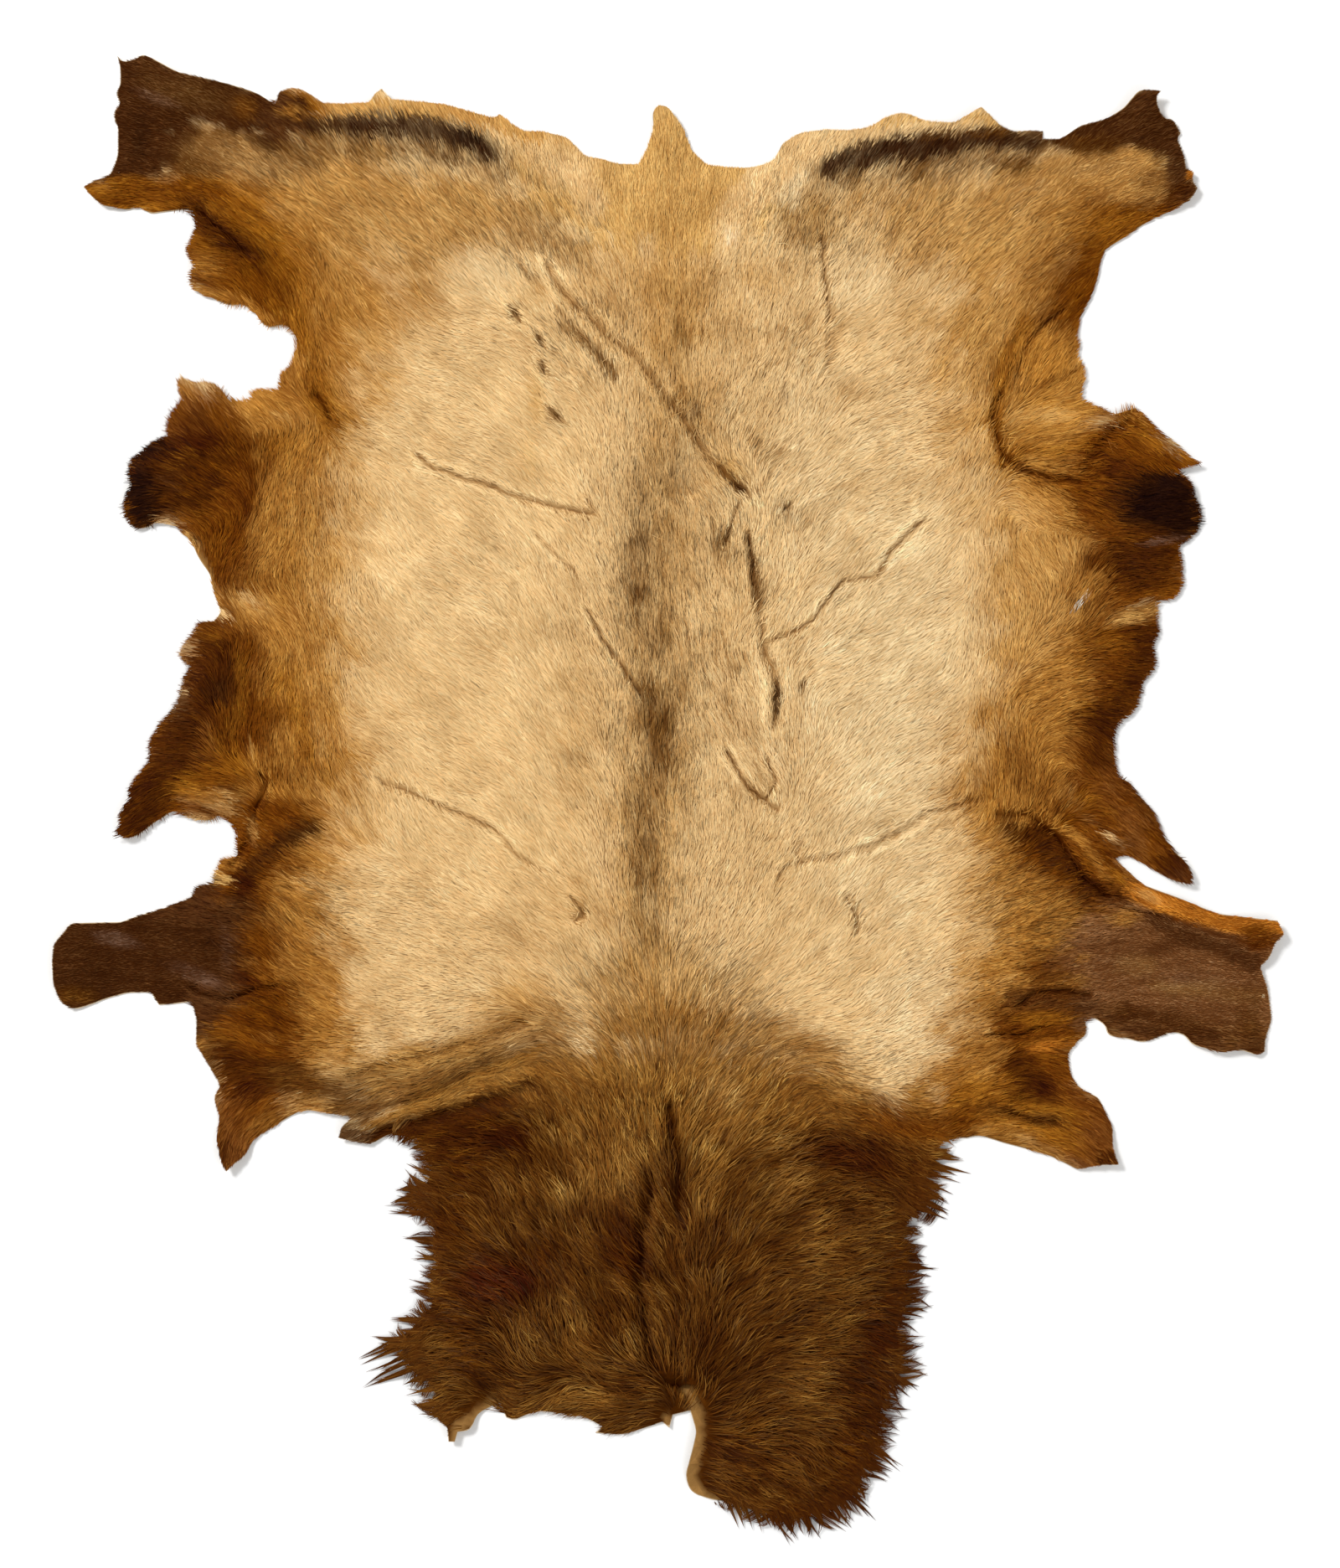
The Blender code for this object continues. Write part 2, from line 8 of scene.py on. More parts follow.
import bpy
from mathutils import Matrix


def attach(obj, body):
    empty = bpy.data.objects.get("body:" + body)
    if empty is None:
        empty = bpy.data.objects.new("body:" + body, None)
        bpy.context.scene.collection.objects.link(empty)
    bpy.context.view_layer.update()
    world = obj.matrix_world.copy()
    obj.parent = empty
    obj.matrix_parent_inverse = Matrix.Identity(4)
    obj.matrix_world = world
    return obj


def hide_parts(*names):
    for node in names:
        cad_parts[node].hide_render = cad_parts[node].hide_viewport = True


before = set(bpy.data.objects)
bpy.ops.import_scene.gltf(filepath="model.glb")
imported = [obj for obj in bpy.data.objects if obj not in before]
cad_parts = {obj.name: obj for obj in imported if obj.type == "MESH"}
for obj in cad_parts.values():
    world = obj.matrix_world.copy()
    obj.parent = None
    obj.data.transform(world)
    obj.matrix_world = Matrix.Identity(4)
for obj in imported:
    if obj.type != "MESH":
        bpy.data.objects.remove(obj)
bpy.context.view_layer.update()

import math
from collections import namedtuple

import bmesh
import bpy
import numpy as np
from mathutils import Vector, kdtree
from mathutils.bvhtree import BVHTree
from mathutils.geometry import delaunay_2d_cdt

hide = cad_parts["hide"]

# %% [markdown]
# The camera hangs straight above the hide, as in a shop's picture of one. A long lens keeps the
# locks at the rim from leaning outward. Its distance follows from the lens and from how much of the
# floor the picture takes in.

# %% Camera straight above
VIEW_HEIGHT = 2.2464        # metres from the picture's bottom to its top
VIEW_CENTRE = (0.003, 0.0198)
LENS = 85
SENSOR = 36
COAT_LEVEL = 0.01           # the height above the floor at which the picture is that tall

scene = bpy.context.scene
camera_data = bpy.data.cameras.new("camera")
camera_data.lens = LENS
camera_data.sensor_width = SENSOR
camera_data.clip_end = 50
camera = bpy.data.objects.new("camera", camera_data)
camera.location = (*VIEW_CENTRE, VIEW_HEIGHT * LENS / SENSOR + COAT_LEVEL)
scene.collection.objects.link(camera)
scene.camera = camera
scene.view_settings.view_transform = "Standard"
print("camera at", [round(value, 3) for value in camera.location])

# %% [markdown]
# The floor is plain and nearly white. The light is that of a studio: the pale room fills every
# shadow, and one big soft lamp at the upper left brings out the lie of the hair. A second, weaker
# lamp from the lower right keeps the far side of each fold from going flat.

# %% Floor and lights
FLOOR_SIZE = 14
ROOM_LIGHT = 0.60
LAMPS = (
    # name, place, size, watts
    ("key lamp", (-6.8, 6.1, 9.7), 3.4, 1350),
    ("fill lamp", (3.6, -3.0, 5.0), 3.5, 60),
)

floor_mesh = bpy.data.meshes.new("floor")
half = FLOOR_SIZE / 2
floor_mesh.from_pydata([(-half, -half, 0), (half, -half, 0), (half, half, 0), (-half, half, 0)], [],
                       [(0, 1, 2, 3)])
floor = bpy.data.objects.new("floor", floor_mesh)
scene.collection.objects.link(floor)

for name, place, size, watts in LAMPS:
    lamp_data = bpy.data.lights.new(name, "AREA")
    lamp_data.shape = "DISK"
    lamp_data.size = size
    lamp_data.energy = watts
    lamp = bpy.data.objects.new(name, lamp_data)
    lamp.location = place
    lamp.rotation_euler = (-Vector(place)).to_track_quat("-Z", "Y").to_euler()
    scene.collection.objects.link(lamp)

room = bpy.data.worlds.new("pale room")
room.use_nodes = True
room.node_tree.nodes["Background"].inputs["Color"].default_value = (1, 1, 1, 1)
room.node_tree.nodes["Background"].inputs["Strength"].default_value = ROOM_LIGHT
scene.world = room
print(len(LAMPS), "lamps and a pale room")

# %% [markdown]
# A shader is arithmetic on what a point of the surface knows about itself. Written node by node it
# is hard to read, so this small class wraps one socket. Adding or multiplying wrapped sockets adds
# the Math node that does it, and a formula reads as it would on paper.

# %% Shader arithmetic
class Wire:
    """One output of a node. Arithmetic on it adds Math nodes."""

    def __init__(self, socket):
        self.socket = socket
        self.tree = socket.id_data

    def math(self, operation, first, second):
        node = self.tree.nodes.new("ShaderNodeMath")
        node.operation = operation
        for place, value in enumerate((first, second)):
            if isinstance(value, Wire):
                self.tree.links.new(value.socket, node.inputs[place])
            else:
                node.inputs[place].default_value = value
        return Wire(node.outputs[0])

    def __add__(self, other):
        return self.math("ADD", self, other)

    def __radd__(self, other):
        return self.math("ADD", other, self)

    def __sub__(self, other):
        return self.math("SUBTRACT", self, other)

    def __rsub__(self, other):
        return self.math("SUBTRACT", other, self)

    def __mul__(self, other):
        return self.math("MULTIPLY", self, other)

    def __rmul__(self, other):
        return self.math("MULTIPLY", other, self)

    def __pow__(self, other):
        return self.math("POWER", self, other)

    def __rpow__(self, other):
        return self.math("POWER", other, self)


print("arithmetic for shaders:", [name for name in vars(Wire) if name.startswith("__r")])

# %% [markdown]
# Hair, wool and leather each get a finish: a material with one shader. One method adds any node,
# its settings first and then its sockets, which keeps every finish below to a few lines.

# %% A finish and its nodes
class Finish:
    """A material, and one way to add any node to it."""

    def __init__(self, name, **constants):
        self.material = bpy.data.materials.new(name)
        self.material.use_nodes = True
        self.tree = self.material.node_tree
        self.shader = self.tree.nodes["Principled BSDF"]
        for socket, value in constants.items():
            self.shader.inputs[socket.replace("_", " ")].default_value = value

    def node(self, kind, settings, values, output=0):
        """Adds a node: its settings first, then its sockets' values or links."""
        node = self.tree.nodes.new(kind)
        for name, setting in settings.items():
            if name == "stops":
                self.place_stops(node.color_ramp, setting)
            else:
                setattr(node, name, setting)
        for name, value in values.items():
            if isinstance(value, Wire):
                self.tree.links.new(value.socket, node.inputs[name])
            else:
                node.inputs[name].default_value = value
        return Wire(node.outputs[output])

    def place_stops(self, ramp, stops):
        while len(ramp.elements) < len(stops):
            ramp.elements.new(0.5)
        for element, (place, colour) in zip(ramp.elements, stops):
            element.position = place
            element.color = colour

    def feed(self, socket, wire):
        self.tree.links.new(wire.socket, self.shader.inputs[socket])


print("finishes can be made")

# %% [markdown]
# Colours go through a Mix node, because plain arithmetic would turn them grey. They are
# written as on a screen, from 0 to 255, and put on the scale of light by the usual curve.

# %% Colours and the floor
FACTOR, FIRST_COLOUR, SECOND_COLOUR, MIXED_COLOUR = 0, 6, 7, 2


def mix_colours(finish, blend, factor, first, second):
    """A Mix node for colours."""
    return finish.node(
        "ShaderNodeMix", {"data_type": "RGBA", "blend_type": blend},
        {FACTOR: factor, FIRST_COLOUR: first, SECOND_COLOUR: second}, MIXED_COLOUR)


def linear(red, green, blue):
    """The light that a colour on a screen stands for, from 0 to 1."""
    share = np.array((red, green, blue)) / 255
    return np.where(share <= 0.04045, share / 12.92, ((share + 0.055) / 1.055) ** 2.4)


floor_finish = Finish("floor_paint", Roughness=0.9)
floor_finish.shader.inputs["Base Color"].default_value = (0.9, 0.9, 0.895, 1)
floor_mesh.materials.append(floor_finish.material)
print("half grey in linear light", linear(128, 128, 128).round(3))

# %% [markdown]
# Every hair has to know how high the hide is where it grows and where its tip lies. Asking the solid
# for each of them would be slow, so the solid is probed once on an even grid, from above and from
# below, and the hairs read that grid. The solid's facets are much larger than a lock of hair, so
# the heights are softened until they no longer show.

# %% Probe the solid on a grid
PITCH = 0.004
LOW_X, LOW_Y = -0.93, -1.11
COLUMNS, ROWS = 466, 556
PROBE_HEIGHT = 0.2
SKIN = 0.002
SOFTENING = 14

grid_x, grid_y = np.meshgrid(LOW_X + PITCH * np.arange(COLUMNS), LOW_Y + PITCH * np.arange(ROWS))


def read(field, x, y):
    """A field's value at each place, from the four grid points round it."""
    u = np.clip((x - LOW_X) / PITCH, 0, COLUMNS - 1.001)
    v = np.clip((y - LOW_Y) / PITCH, 0, ROWS - 1.001)
    column, row = u.astype(int), v.astype(int)
    u, v = u - column, v - row
    near = field[row, column] * (1 - u) + field[row, column + 1] * u
    far = field[row + 1, column] * (1 - u) + field[row + 1, column + 1] * u
    return near * (1 - v) + far * v


def probe(solid, direction, where):
    """Heights of the solid seen from above or below, and nan beside it."""
    heights = np.full(grid_x.shape, np.nan)
    start = -direction * PROBE_HEIGHT
    for row, column in zip(*np.nonzero(where)):
        place = (grid_x[row, column], grid_y[row, column], start)
        point = solid.ray_cast(place, (0, 0, direction))[0]
        if point:
            heights[row, column] = point.z
    return heights


def neighbours(field):
    """The sum of each grid point's four neighbours."""
    wide = np.pad(field, 1, mode="edge")
    return wide[:-2, 1:-1] + wide[2:, 1:-1] + wide[1:-1, :-2] + wide[1:-1, 2:]


def spread(heights, rounds=12):
    """Carries the rim's heights outward, so that a tip beyond the rim has a height to read."""
    known = np.isfinite(heights)
    heights = np.where(known, heights, 0)
    for _ in range(rounds):
        count = neighbours(known.astype(float))
        total = neighbours(heights * known)
        new = ~known & (count > 0)
        heights[new] = total[new] / count[new]
        known |= new
    return heights


def soften(field, rounds):
    for _ in range(rounds):
        field = field / 2 + neighbours(field) / 8
    return field


solid = BVHTree.FromPolygons([vertex.co for vertex in hide.data.vertices],
                             [tuple(face.vertices) for face in hide.data.polygons])
top_probe = probe(solid, -1, np.ones(grid_x.shape, bool))
under_probe = probe(solid, 1, np.isfinite(top_probe))
top = soften(spread(top_probe), SOFTENING)
under = spread(under_probe)
print("grid points on the hide", int(np.isfinite(top_probe).sum()), "highest", round(float(top.max()), 4))

# %% [markdown]
# The hide's rim is the solid's lower edge. Its wall tells what kind of edge it is: three
# millimetres high where a bare skin ends, about twice that under a coat, and more under the mane.
# The mane's locks stick out as spikes. They are hair and not skin, so the leather's own rim leaves
# them out, and their tips are kept in a list for the hairs to reach later.

# %% Trace the rim and find the locks
SKIN_WALL, COAT_WALL = 0.0042, 0.008
CORNER = math.radians(52)
RIM_PITCH = 0.004


def trace_rim(node):
    """The lower rim in order: an array with x, y and the wall's height."""
    body = bmesh.new()
    body.from_mesh(node.data)
    bmesh.ops.remove_doubles(body, verts=body.verts, dist=1e-6)
    beside = {}
    for edge in body.edges:
        lean = sorted(face.normal.z for face in edge.link_faces)
        if len(lean) == 2 and lean[0] < -0.5 and abs(lean[1]) < 0.2:
            for vertex in edge.verts:
                beside.setdefault(vertex, []).append(edge.other_vert(vertex))
    start = next(iter(beside))
    order, before, here = [], None, start
    while here is not None and (here is not start or not order):
        wall = max((edge.other_vert(here).co.z - here.co.z for edge in here.link_edges
                    if (edge.other_vert(here).co.xy - here.co.xy).length < 1e-5), default=0)
        order.append((here.co.x, here.co.y, wall))
        onward = [vertex for vertex in beside[here] if vertex is not before]
        before, here = here, onward[0]
    body.free()
    return np.array(order)


def signed_area(loop):
    """The area in a closed loop, above zero where the loop runs against the clock."""
    after = np.roll(loop, -1, 0)
    return 0.5 * float(np.sum(loop[:, 0] * after[:, 1] - after[:, 0] * loop[:, 1]))


def rounded(rim, pitch):
    """The rim at an even pitch: curved along its run, and sharp where it has a corner."""
    points, walls = rim[:, :2], rim[:, 2]
    count = len(points)
    steps = points - np.roll(points, 1, 0)
    heading = np.arctan2(steps[:, 1], steps[:, 0])
    turn = (np.roll(heading, -1) - heading + math.pi) % (2 * math.pi) - math.pi
    corner = np.abs(turn) > CORNER
    fine = []
    for index in range(count):
        after = (index + 1) % count
        start, end = points[index], points[after]
        before = start if corner[index] else points[index - 1]
        beyond = end if corner[after] else points[(index + 2) % count]
        reach = np.linalg.norm(end - start)
        leave = (end - before) / (np.linalg.norm(end - before) + 1e-9) * reach
        arrive = (beyond - start) / (np.linalg.norm(beyond - start) + 1e-9) * reach
        for t in np.arange(0, 1, 1 / max(1, round(reach / pitch))):
            place = ((2 * t ** 3 - 3 * t ** 2 + 1) * start + (t ** 3 - 2 * t ** 2 + t) * leave
                     + (3 * t ** 2 - 2 * t ** 3) * end + (t ** 3 - t ** 2) * arrive)
            fine.append((*place, walls[index] * (1 - t) + walls[after] * t))
    return np.array(fine)


rim = trace_rim(hide)
if signed_area(rim) < 0:
    rim = rim[::-1]
spike = ((rim[:, 2] < SKIN_WALL) & (np.roll(rim[:, 2], 1) > COAT_WALL)
         & (np.roll(rim[:, 2], -1) > COAT_WALL))
locks = [(rim[i - 1, :2], rim[i, :2], rim[(i + 1) % len(rim), :2]) for i in np.flatnonzero(spike)]
skin_rim = rounded(rim[~spike], RIM_PITCH)
skin_area = abs(signed_area(skin_rim))
print(len(rim), "rim points,", len(locks), "locks, skin area", round(skin_area, 3))

# %% [markdown]
# How far a place is from the rim decides how long its hair may be: on the legs the coat ends clean
# at the skin's edge, on the belly it stands a few millimetres over it, and the mane hangs well
# out. The distance is measured once on the same grid, below zero outside the hide. Under the mane
# the skin itself ends a little way in, so that the floor shows between the locks.

# %% Distance to the rim
MANE_SET_BACK = 0.015
SET_BACK_RAMP = 15          # rim points over which the skin draws back to that
OVERHANG = (
    # wall up to, how far a tip may pass the rim
    (SKIN_WALL, 0.0015),
    (COAT_WALL, 0.0045),
    (1.0, 0.002),
)


def inside_of(loop, x, y):
    """True where a place lies inside a closed loop, by counting what it crosses."""
    result = np.zeros(x.shape, bool)
    start, end = loop, np.roll(loop, -1, 0)
    for row in range(x.shape[0]):
        height = y[row, 0]
        spans = (start[:, 1] > height) != (end[:, 1] > height)
        a, b = start[spans], end[spans]
        hits = a[:, 0] + (height - a[:, 1]) / (b[:, 1] - a[:, 1]) * (b[:, 0] - a[:, 0])
        result[row] = np.searchsorted(np.sort(hits), x[row]) % 2 == 1
    return result


rim_tree = kdtree.KDTree(len(skin_rim))
for index, (x, y, wall) in enumerate(skin_rim):
    rim_tree.insert((x, y, 0), index)
rim_tree.balance()
nearest = [rim_tree.find((x, y, 0))[1:] for x, y in zip(grid_x.ravel(), grid_y.ravel())]
rim_gap = np.array([distance for _, distance in nearest]).reshape(grid_x.shape)
rim_index = np.array([index for index, _ in nearest]).reshape(grid_x.shape)
rim_wall = skin_rim[rim_index, 2]
rim_gap = np.where(inside_of(skin_rim[:, :2], grid_x, grid_y), rim_gap, -rim_gap)
overhang = np.select([rim_wall < limit for limit, _ in OVERHANG], [reach for _, reach in OVERHANG])
overhang = soften(overhang, 4)
under_mane = (skin_rim[:, 2] > COAT_WALL).astype(float)
set_back = MANE_SET_BACK * np.convolve(np.tile(under_mane, 3), np.ones(SET_BACK_RAMP) / SET_BACK_RAMP,
                                       "same")
set_back = set_back[len(under_mane):2 * len(under_mane)]
skin_step = soften(set_back[rim_index], 3)
coat_gap = rim_gap - skin_step
print("widest distance to the rim", round(float(rim_gap.max()), 3))

# %% [markdown]
# Places on the hide are read on a plan grid with 1.2 mm squares, whose columns run across the hide
# and whose rows run from the tail to the neck. Tables of places are kept as plain text.

# %% Places on the plan
SQUARE = 0.0012
MIDDLE_COLUMN, MIDDLE_ROW = 797.5, 952.5


def on_plan(column, row):
    """Metres across and along the hide for a place on the plan."""
    return (column - MIDDLE_COLUMN) * SQUARE, (MIDDLE_ROW - row) * SQUARE


def groups(text):
    """Groups of numbers from plain text: commas inside a group, and spaces between groups."""
    return tuple(tuple(float(value) for value in group.split(",")) for group in text.split())


def in_metres(path):
    """The places of a path of columns and rows, as metres across and along the hide."""
    return [np.array(on_plan(*place)) for place in path]


print("tail tip at", on_plan(787, 127))

# %% [markdown]
# Hair doesn't grow straight up. It lies back from the nose towards the tail and down the sides, so
# on a hide laid flat it runs up the page and outward from the spine, turns along the legs, and
# meets in a ridge where the flank joins the belly. A short table gives the way the tips point at
# named places, in degrees from the right, and every other place leans towards its nearest rows.

# %% The lie of the hair
Lie = namedtuple("Lie", "column row degrees")
LIES_OF = {
    # column, row and degrees
    "hind legs, rump and tail": """
        170,100,160 300,125,152 160,180,172 130,232,180 250,170,150 320,180,140 450,165,122 560,175,115
        620,190,110 650,170,100 720,215,95 790,160,90 790,230,90 870,215,84 930,190,74 872,285,75
        1010,180,66 1060,220,57 1130,180,52 1250,190,42 1350,190,28 1390,150,25 1380,225,20 1300,260,30""",
    "rear quarters": """
        300,270,145 450,250,142 560,260,132 650,270,122 720,300,112 800,320,92 880,320,78 960,270,70
        1020,310,60 1150,280,44 1240,300,40""",
    "groins": """
        250,320,172 320,340,130 370,380,105 370,440,98 330,480,145 240,480,128 1240,380,55 1280,430,50
        1190,450,82 1245,510,15 1340,520,-30 1390,545,-35 1280,540,5""",
    "left side": """
        430,420,138 550,430,160 480,330,138 450,520,150 560,560,155 440,640,128 540,680,148 640,480,140
        640,620,130 700,700,115 440,780,130 560,820,145 660,830,122 450,880,148 560,930,150 660,960,125
        470,965,118 560,1030,142 450,1080,166 560,1120,160 660,1100,140 400,1170,152 380,1050,155
        335,1110,135""",
    "left flank ridge and lobes": """
        385,600,98 385,700,95 385,800,97 390,880,100 340,620,78 300,660,62 350,560,70 320,740,130
        190,560,160 170,600,200 250,590,150 235,770,170 300,800,72 210,880,185 170,960,205 290,890,85
        340,910,92 270,930,168 350,1000,150""",
    "left foreleg and shoulder": """
        100,1150,180 230,1140,178 300,1100,165 270,1210,165 250,1260,205 320,1240,150 270,1370,262
        310,1330,228 350,1290,190 400,1300,178 470,1250,172 560,1240,190 450,1320,207 560,1290,206
        620,1245,200""",
    "spine": """
        790,420,90 780,560,92 775,700,93 785,850,90 775,1000,96 800,1080,85 760,1120,105 760,1190,118
        800,1180,82""",
    "right of the spine, with its swirls": """
        850,420,82 900,480,68 930,560,45 880,580,120 900,660,85 860,700,100 930,740,60 880,830,108
        930,860,95 900,930,125 860,960,85 880,1060,66 930,1000,62 960,1060,55 830,1150,55 900,1180,42""",
    "right side": """
        1050,400,34 1150,420,50 1100,520,15 1050,600,25 1130,620,40 1000,700,45 1100,730,32 1000,800,30
        1100,880,34 1010,930,48 1080,980,30 1000,1080,52 1100,1090,30 1040,1170,40 1120,1200,24""",
    "right flank ridge and lobes": """
        1170,560,70 1185,650,88 1190,760,90 1200,880,95 1215,940,92 1230,600,-40 1290,600,-20
        1250,680,122 1290,720,60 1270,800,15 1250,850,20 1380,600,5 1370,660,-5 1340,730,10
        1340,800,-10 1290,900,-40 1350,950,-38 1400,1030,-45 1260,960,60 1290,1000,-30""",
    "right foreleg and shoulder": """
        1160,1040,30 1250,1060,20 1300,1120,5 1450,1170,-4 1420,1080,-22 1500,1100,0 1250,1150,12
        1230,1220,12 1250,1290,-20 1310,1350,-38 1180,1280,22 1200,1330,8 1250,1370,-20 1130,1330,20""",
    "cape": """
        700,1150,126 640,1180,145 700,1230,150 740,1230,124 780,1240,105 820,1230,68 870,1250,45
        950,1240,8 980,1290,-14 1050,1330,-34 1060,1270,20 900,1300,48""",
    "mane, left half": """
        550,1350,180 600,1330,156 650,1330,126 700,1380,114 740,1370,108 780,1350,98 560,1430,146
        600,1450,122 650,1430,125 700,1440,106 530,1480,146 515,1525,170 570,1530,152 560,1580,168
        490,1580,214 470,1635,186 540,1630,172 520,1675,196 580,1650,150 620,1590,110 680,1580,98
        680,1530,120 700,1620,150 660,1665,203 740,1700,190 760,1590,108 760,1500,138 790,1460,128
        800,1540,126 750,1660,170""",
    "mane, right half": """
        820,1320,66 850,1360,57 890,1340,42 870,1430,60 905,1400,36 925,1440,20 950,1340,44 930,1370,15
        980,1380,0 1000,1330,-22 1060,1360,-30 1090,1390,-22 1100,1430,-28 950,1500,12 1000,1450,9
        1050,1490,-2 1080,1530,-8 1000,1560,4 950,1600,5 1060,1590,-16 830,1480,95 880,1500,52
        835,1580,88 870,1600,52 905,1570,26 840,1640,75 880,1660,35 950,1680,-2 1010,1660,-14
        1060,1670,-36 860,1720,-10 930,1750,-24 1000,1740,-32 1050,1740,-50 900,1790,-26 980,1800,-40""",
}
LIES = [Lie(*row) for text in LIES_OF.values() for row in groups(text)]
print(len(LIES), "places with a known lie, in", len(LIES_OF), "regions")

# %% [markdown]
# A hair may grow anywhere, so each place takes the mean of all rows, the near ones weighing most.
# The mean of 359 and 1 degrees would be 180, so the two parts of each angle are averaged.

# %% The lie at any place
LIE_REACH = 0.028


def lie_fields():
    """The tips' direction on the grid, as its two parts."""
    weight = np.full(grid_x.shape, 1e-9, np.float32)
    across, along = np.zeros_like(weight), np.zeros_like(weight)
    for lie in LIES:
        x, y = on_plan(lie.column, lie.row)
        pull = ((grid_x - x) ** 2 + (grid_y - y) ** 2 + LIE_REACH ** 2) ** -2.5
        weight += pull
        across += pull * math.cos(math.radians(lie.degrees))
        along += pull * math.sin(math.radians(lie.degrees))
    return soften(across / weight, 3), soften(along / weight, 3)


lie_across, lie_along = lie_fields()


def lie_at(x, y):
    """The angle that the tips point at, in radians."""
    return np.arctan2(read(lie_along, x, y), read(lie_across, x, y))


print("lie at the middle of the back", round(math.degrees(float(lie_at(0.0, 0.0)))), "degrees")

# %% [markdown]
# Nothing on a coat is even. Two kinds of chance are used: soft clouds, which drift over the hide,
# and streaks, which are clouds averaged along the hair, so that neighbours in one tuft are alike
# and the next tuft differs. Both come from tables of seeded random numbers and are the same in
# every run. Tufts gather the hairs round scattered centres, and their tips draw together.

# %% Clouds, streaks and tufts
TABLE_SIZE = 1024
TUFT_TABLE_SIZE = 512
TABLE_START = 4096          # keeps the places in the tables above zero
cloud_table = np.random.default_rng(5).random((8, TABLE_SIZE, TABLE_SIZE)).astype(np.float32)


def smooth(value):
    value = np.clip(value, 0, 1)
    return value * value * (3 - 2 * value)


def cloud(x, y, size, layer):
    """Soft noise from 0 to 1 with lumps of a given size."""
    u, v = x / size + TABLE_START, y / size + TABLE_START
    column, row = np.floor(u).astype(int), np.floor(v).astype(int)
    u, v = smooth(u - column), smooth(v - row)
    table = cloud_table[layer]
    left, right = column % TABLE_SIZE, (column + 1) % TABLE_SIZE
    low, high = row % TABLE_SIZE, (row + 1) % TABLE_SIZE
    return ((table[low, left] * (1 - u) + table[low, right] * u) * (1 - v)
            + (table[high, left] * (1 - u) + table[high, right] * u) * v)


def streak(x, y, angle, length, width, layer, samples=7):
    """Noise from 0 to 1 that is drawn out along the hair."""
    total = 0
    for share in np.linspace(-0.5, 0.5, samples):
        total = total + cloud(x + np.cos(angle) * length * share, y + np.sin(angle) * length * share,
                              width, layer)
    spread_out = math.sqrt(samples) * 0.8
    return np.clip((total / samples - 0.5) * spread_out + 0.5, 0, 1)


def tufts(x, y, pitch, seed):
    """The nearest of scattered centres: where it is, and its own chance number."""
    chance = np.random.default_rng(seed)
    shift = chance.random((3, TUFT_TABLE_SIZE, TUFT_TABLE_SIZE)).astype(np.float32)
    column, row = np.floor(x / pitch).astype(int), np.floor(y / pitch).astype(int)
    best = np.full(x.shape, 1e9)
    found_x, found_y, luck = x.copy(), y.copy(), np.zeros(x.shape)
    for step_row in (-1, 0, 1):
        for step_column in (-1, 0, 1):
            c, r = column + step_column, row + step_row
            shift_x, shift_y, own_luck = shift[:, r % TUFT_TABLE_SIZE, c % TUFT_TABLE_SIZE]
            centre_x, centre_y = (c + shift_x) * pitch, (r + shift_y) * pitch
            gap = (x - centre_x) ** 2 + (y - centre_y) ** 2
            nearer = gap < best
            best = np.where(nearer, gap, best)
            found_x, found_y = np.where(nearer, centre_x, found_x), np.where(nearer, centre_y, found_y)
            luck = np.where(nearer, own_luck, luck)
    return found_x, found_y, luck


print("streak sample", streak(np.zeros(3), np.arange(3.0), np.zeros(3), 0.02, 0.003, 0).round(2))

# %% [markdown]
# The creases are old scratches and folds of the skin, where the hair parts and its dark roots show
# as a thin line, deepened with painted shade. Each has a path on the plan, and how wide, how deep
# and how dark its furrow is. A drawn path is too straight for skin, so more places are set on it,
# each a little off the line.

# %% Creases
Crease = namedtuple("Crease", "name half_width depth dark path")


def worn(path, chance):
    """A path with more places, each a little off its own, as no crease runs straight."""
    fine = []
    for start, end in zip(path, path[1:]):
        steps = max(1, round(math.dist(start, end) / 8))
        for step in range(steps):
            fine.append(tuple(a + (b - a) * step / steps + chance.normal(0, 1.1)
                              for a, b in zip(start, end)))
    return (*fine, path[-1])


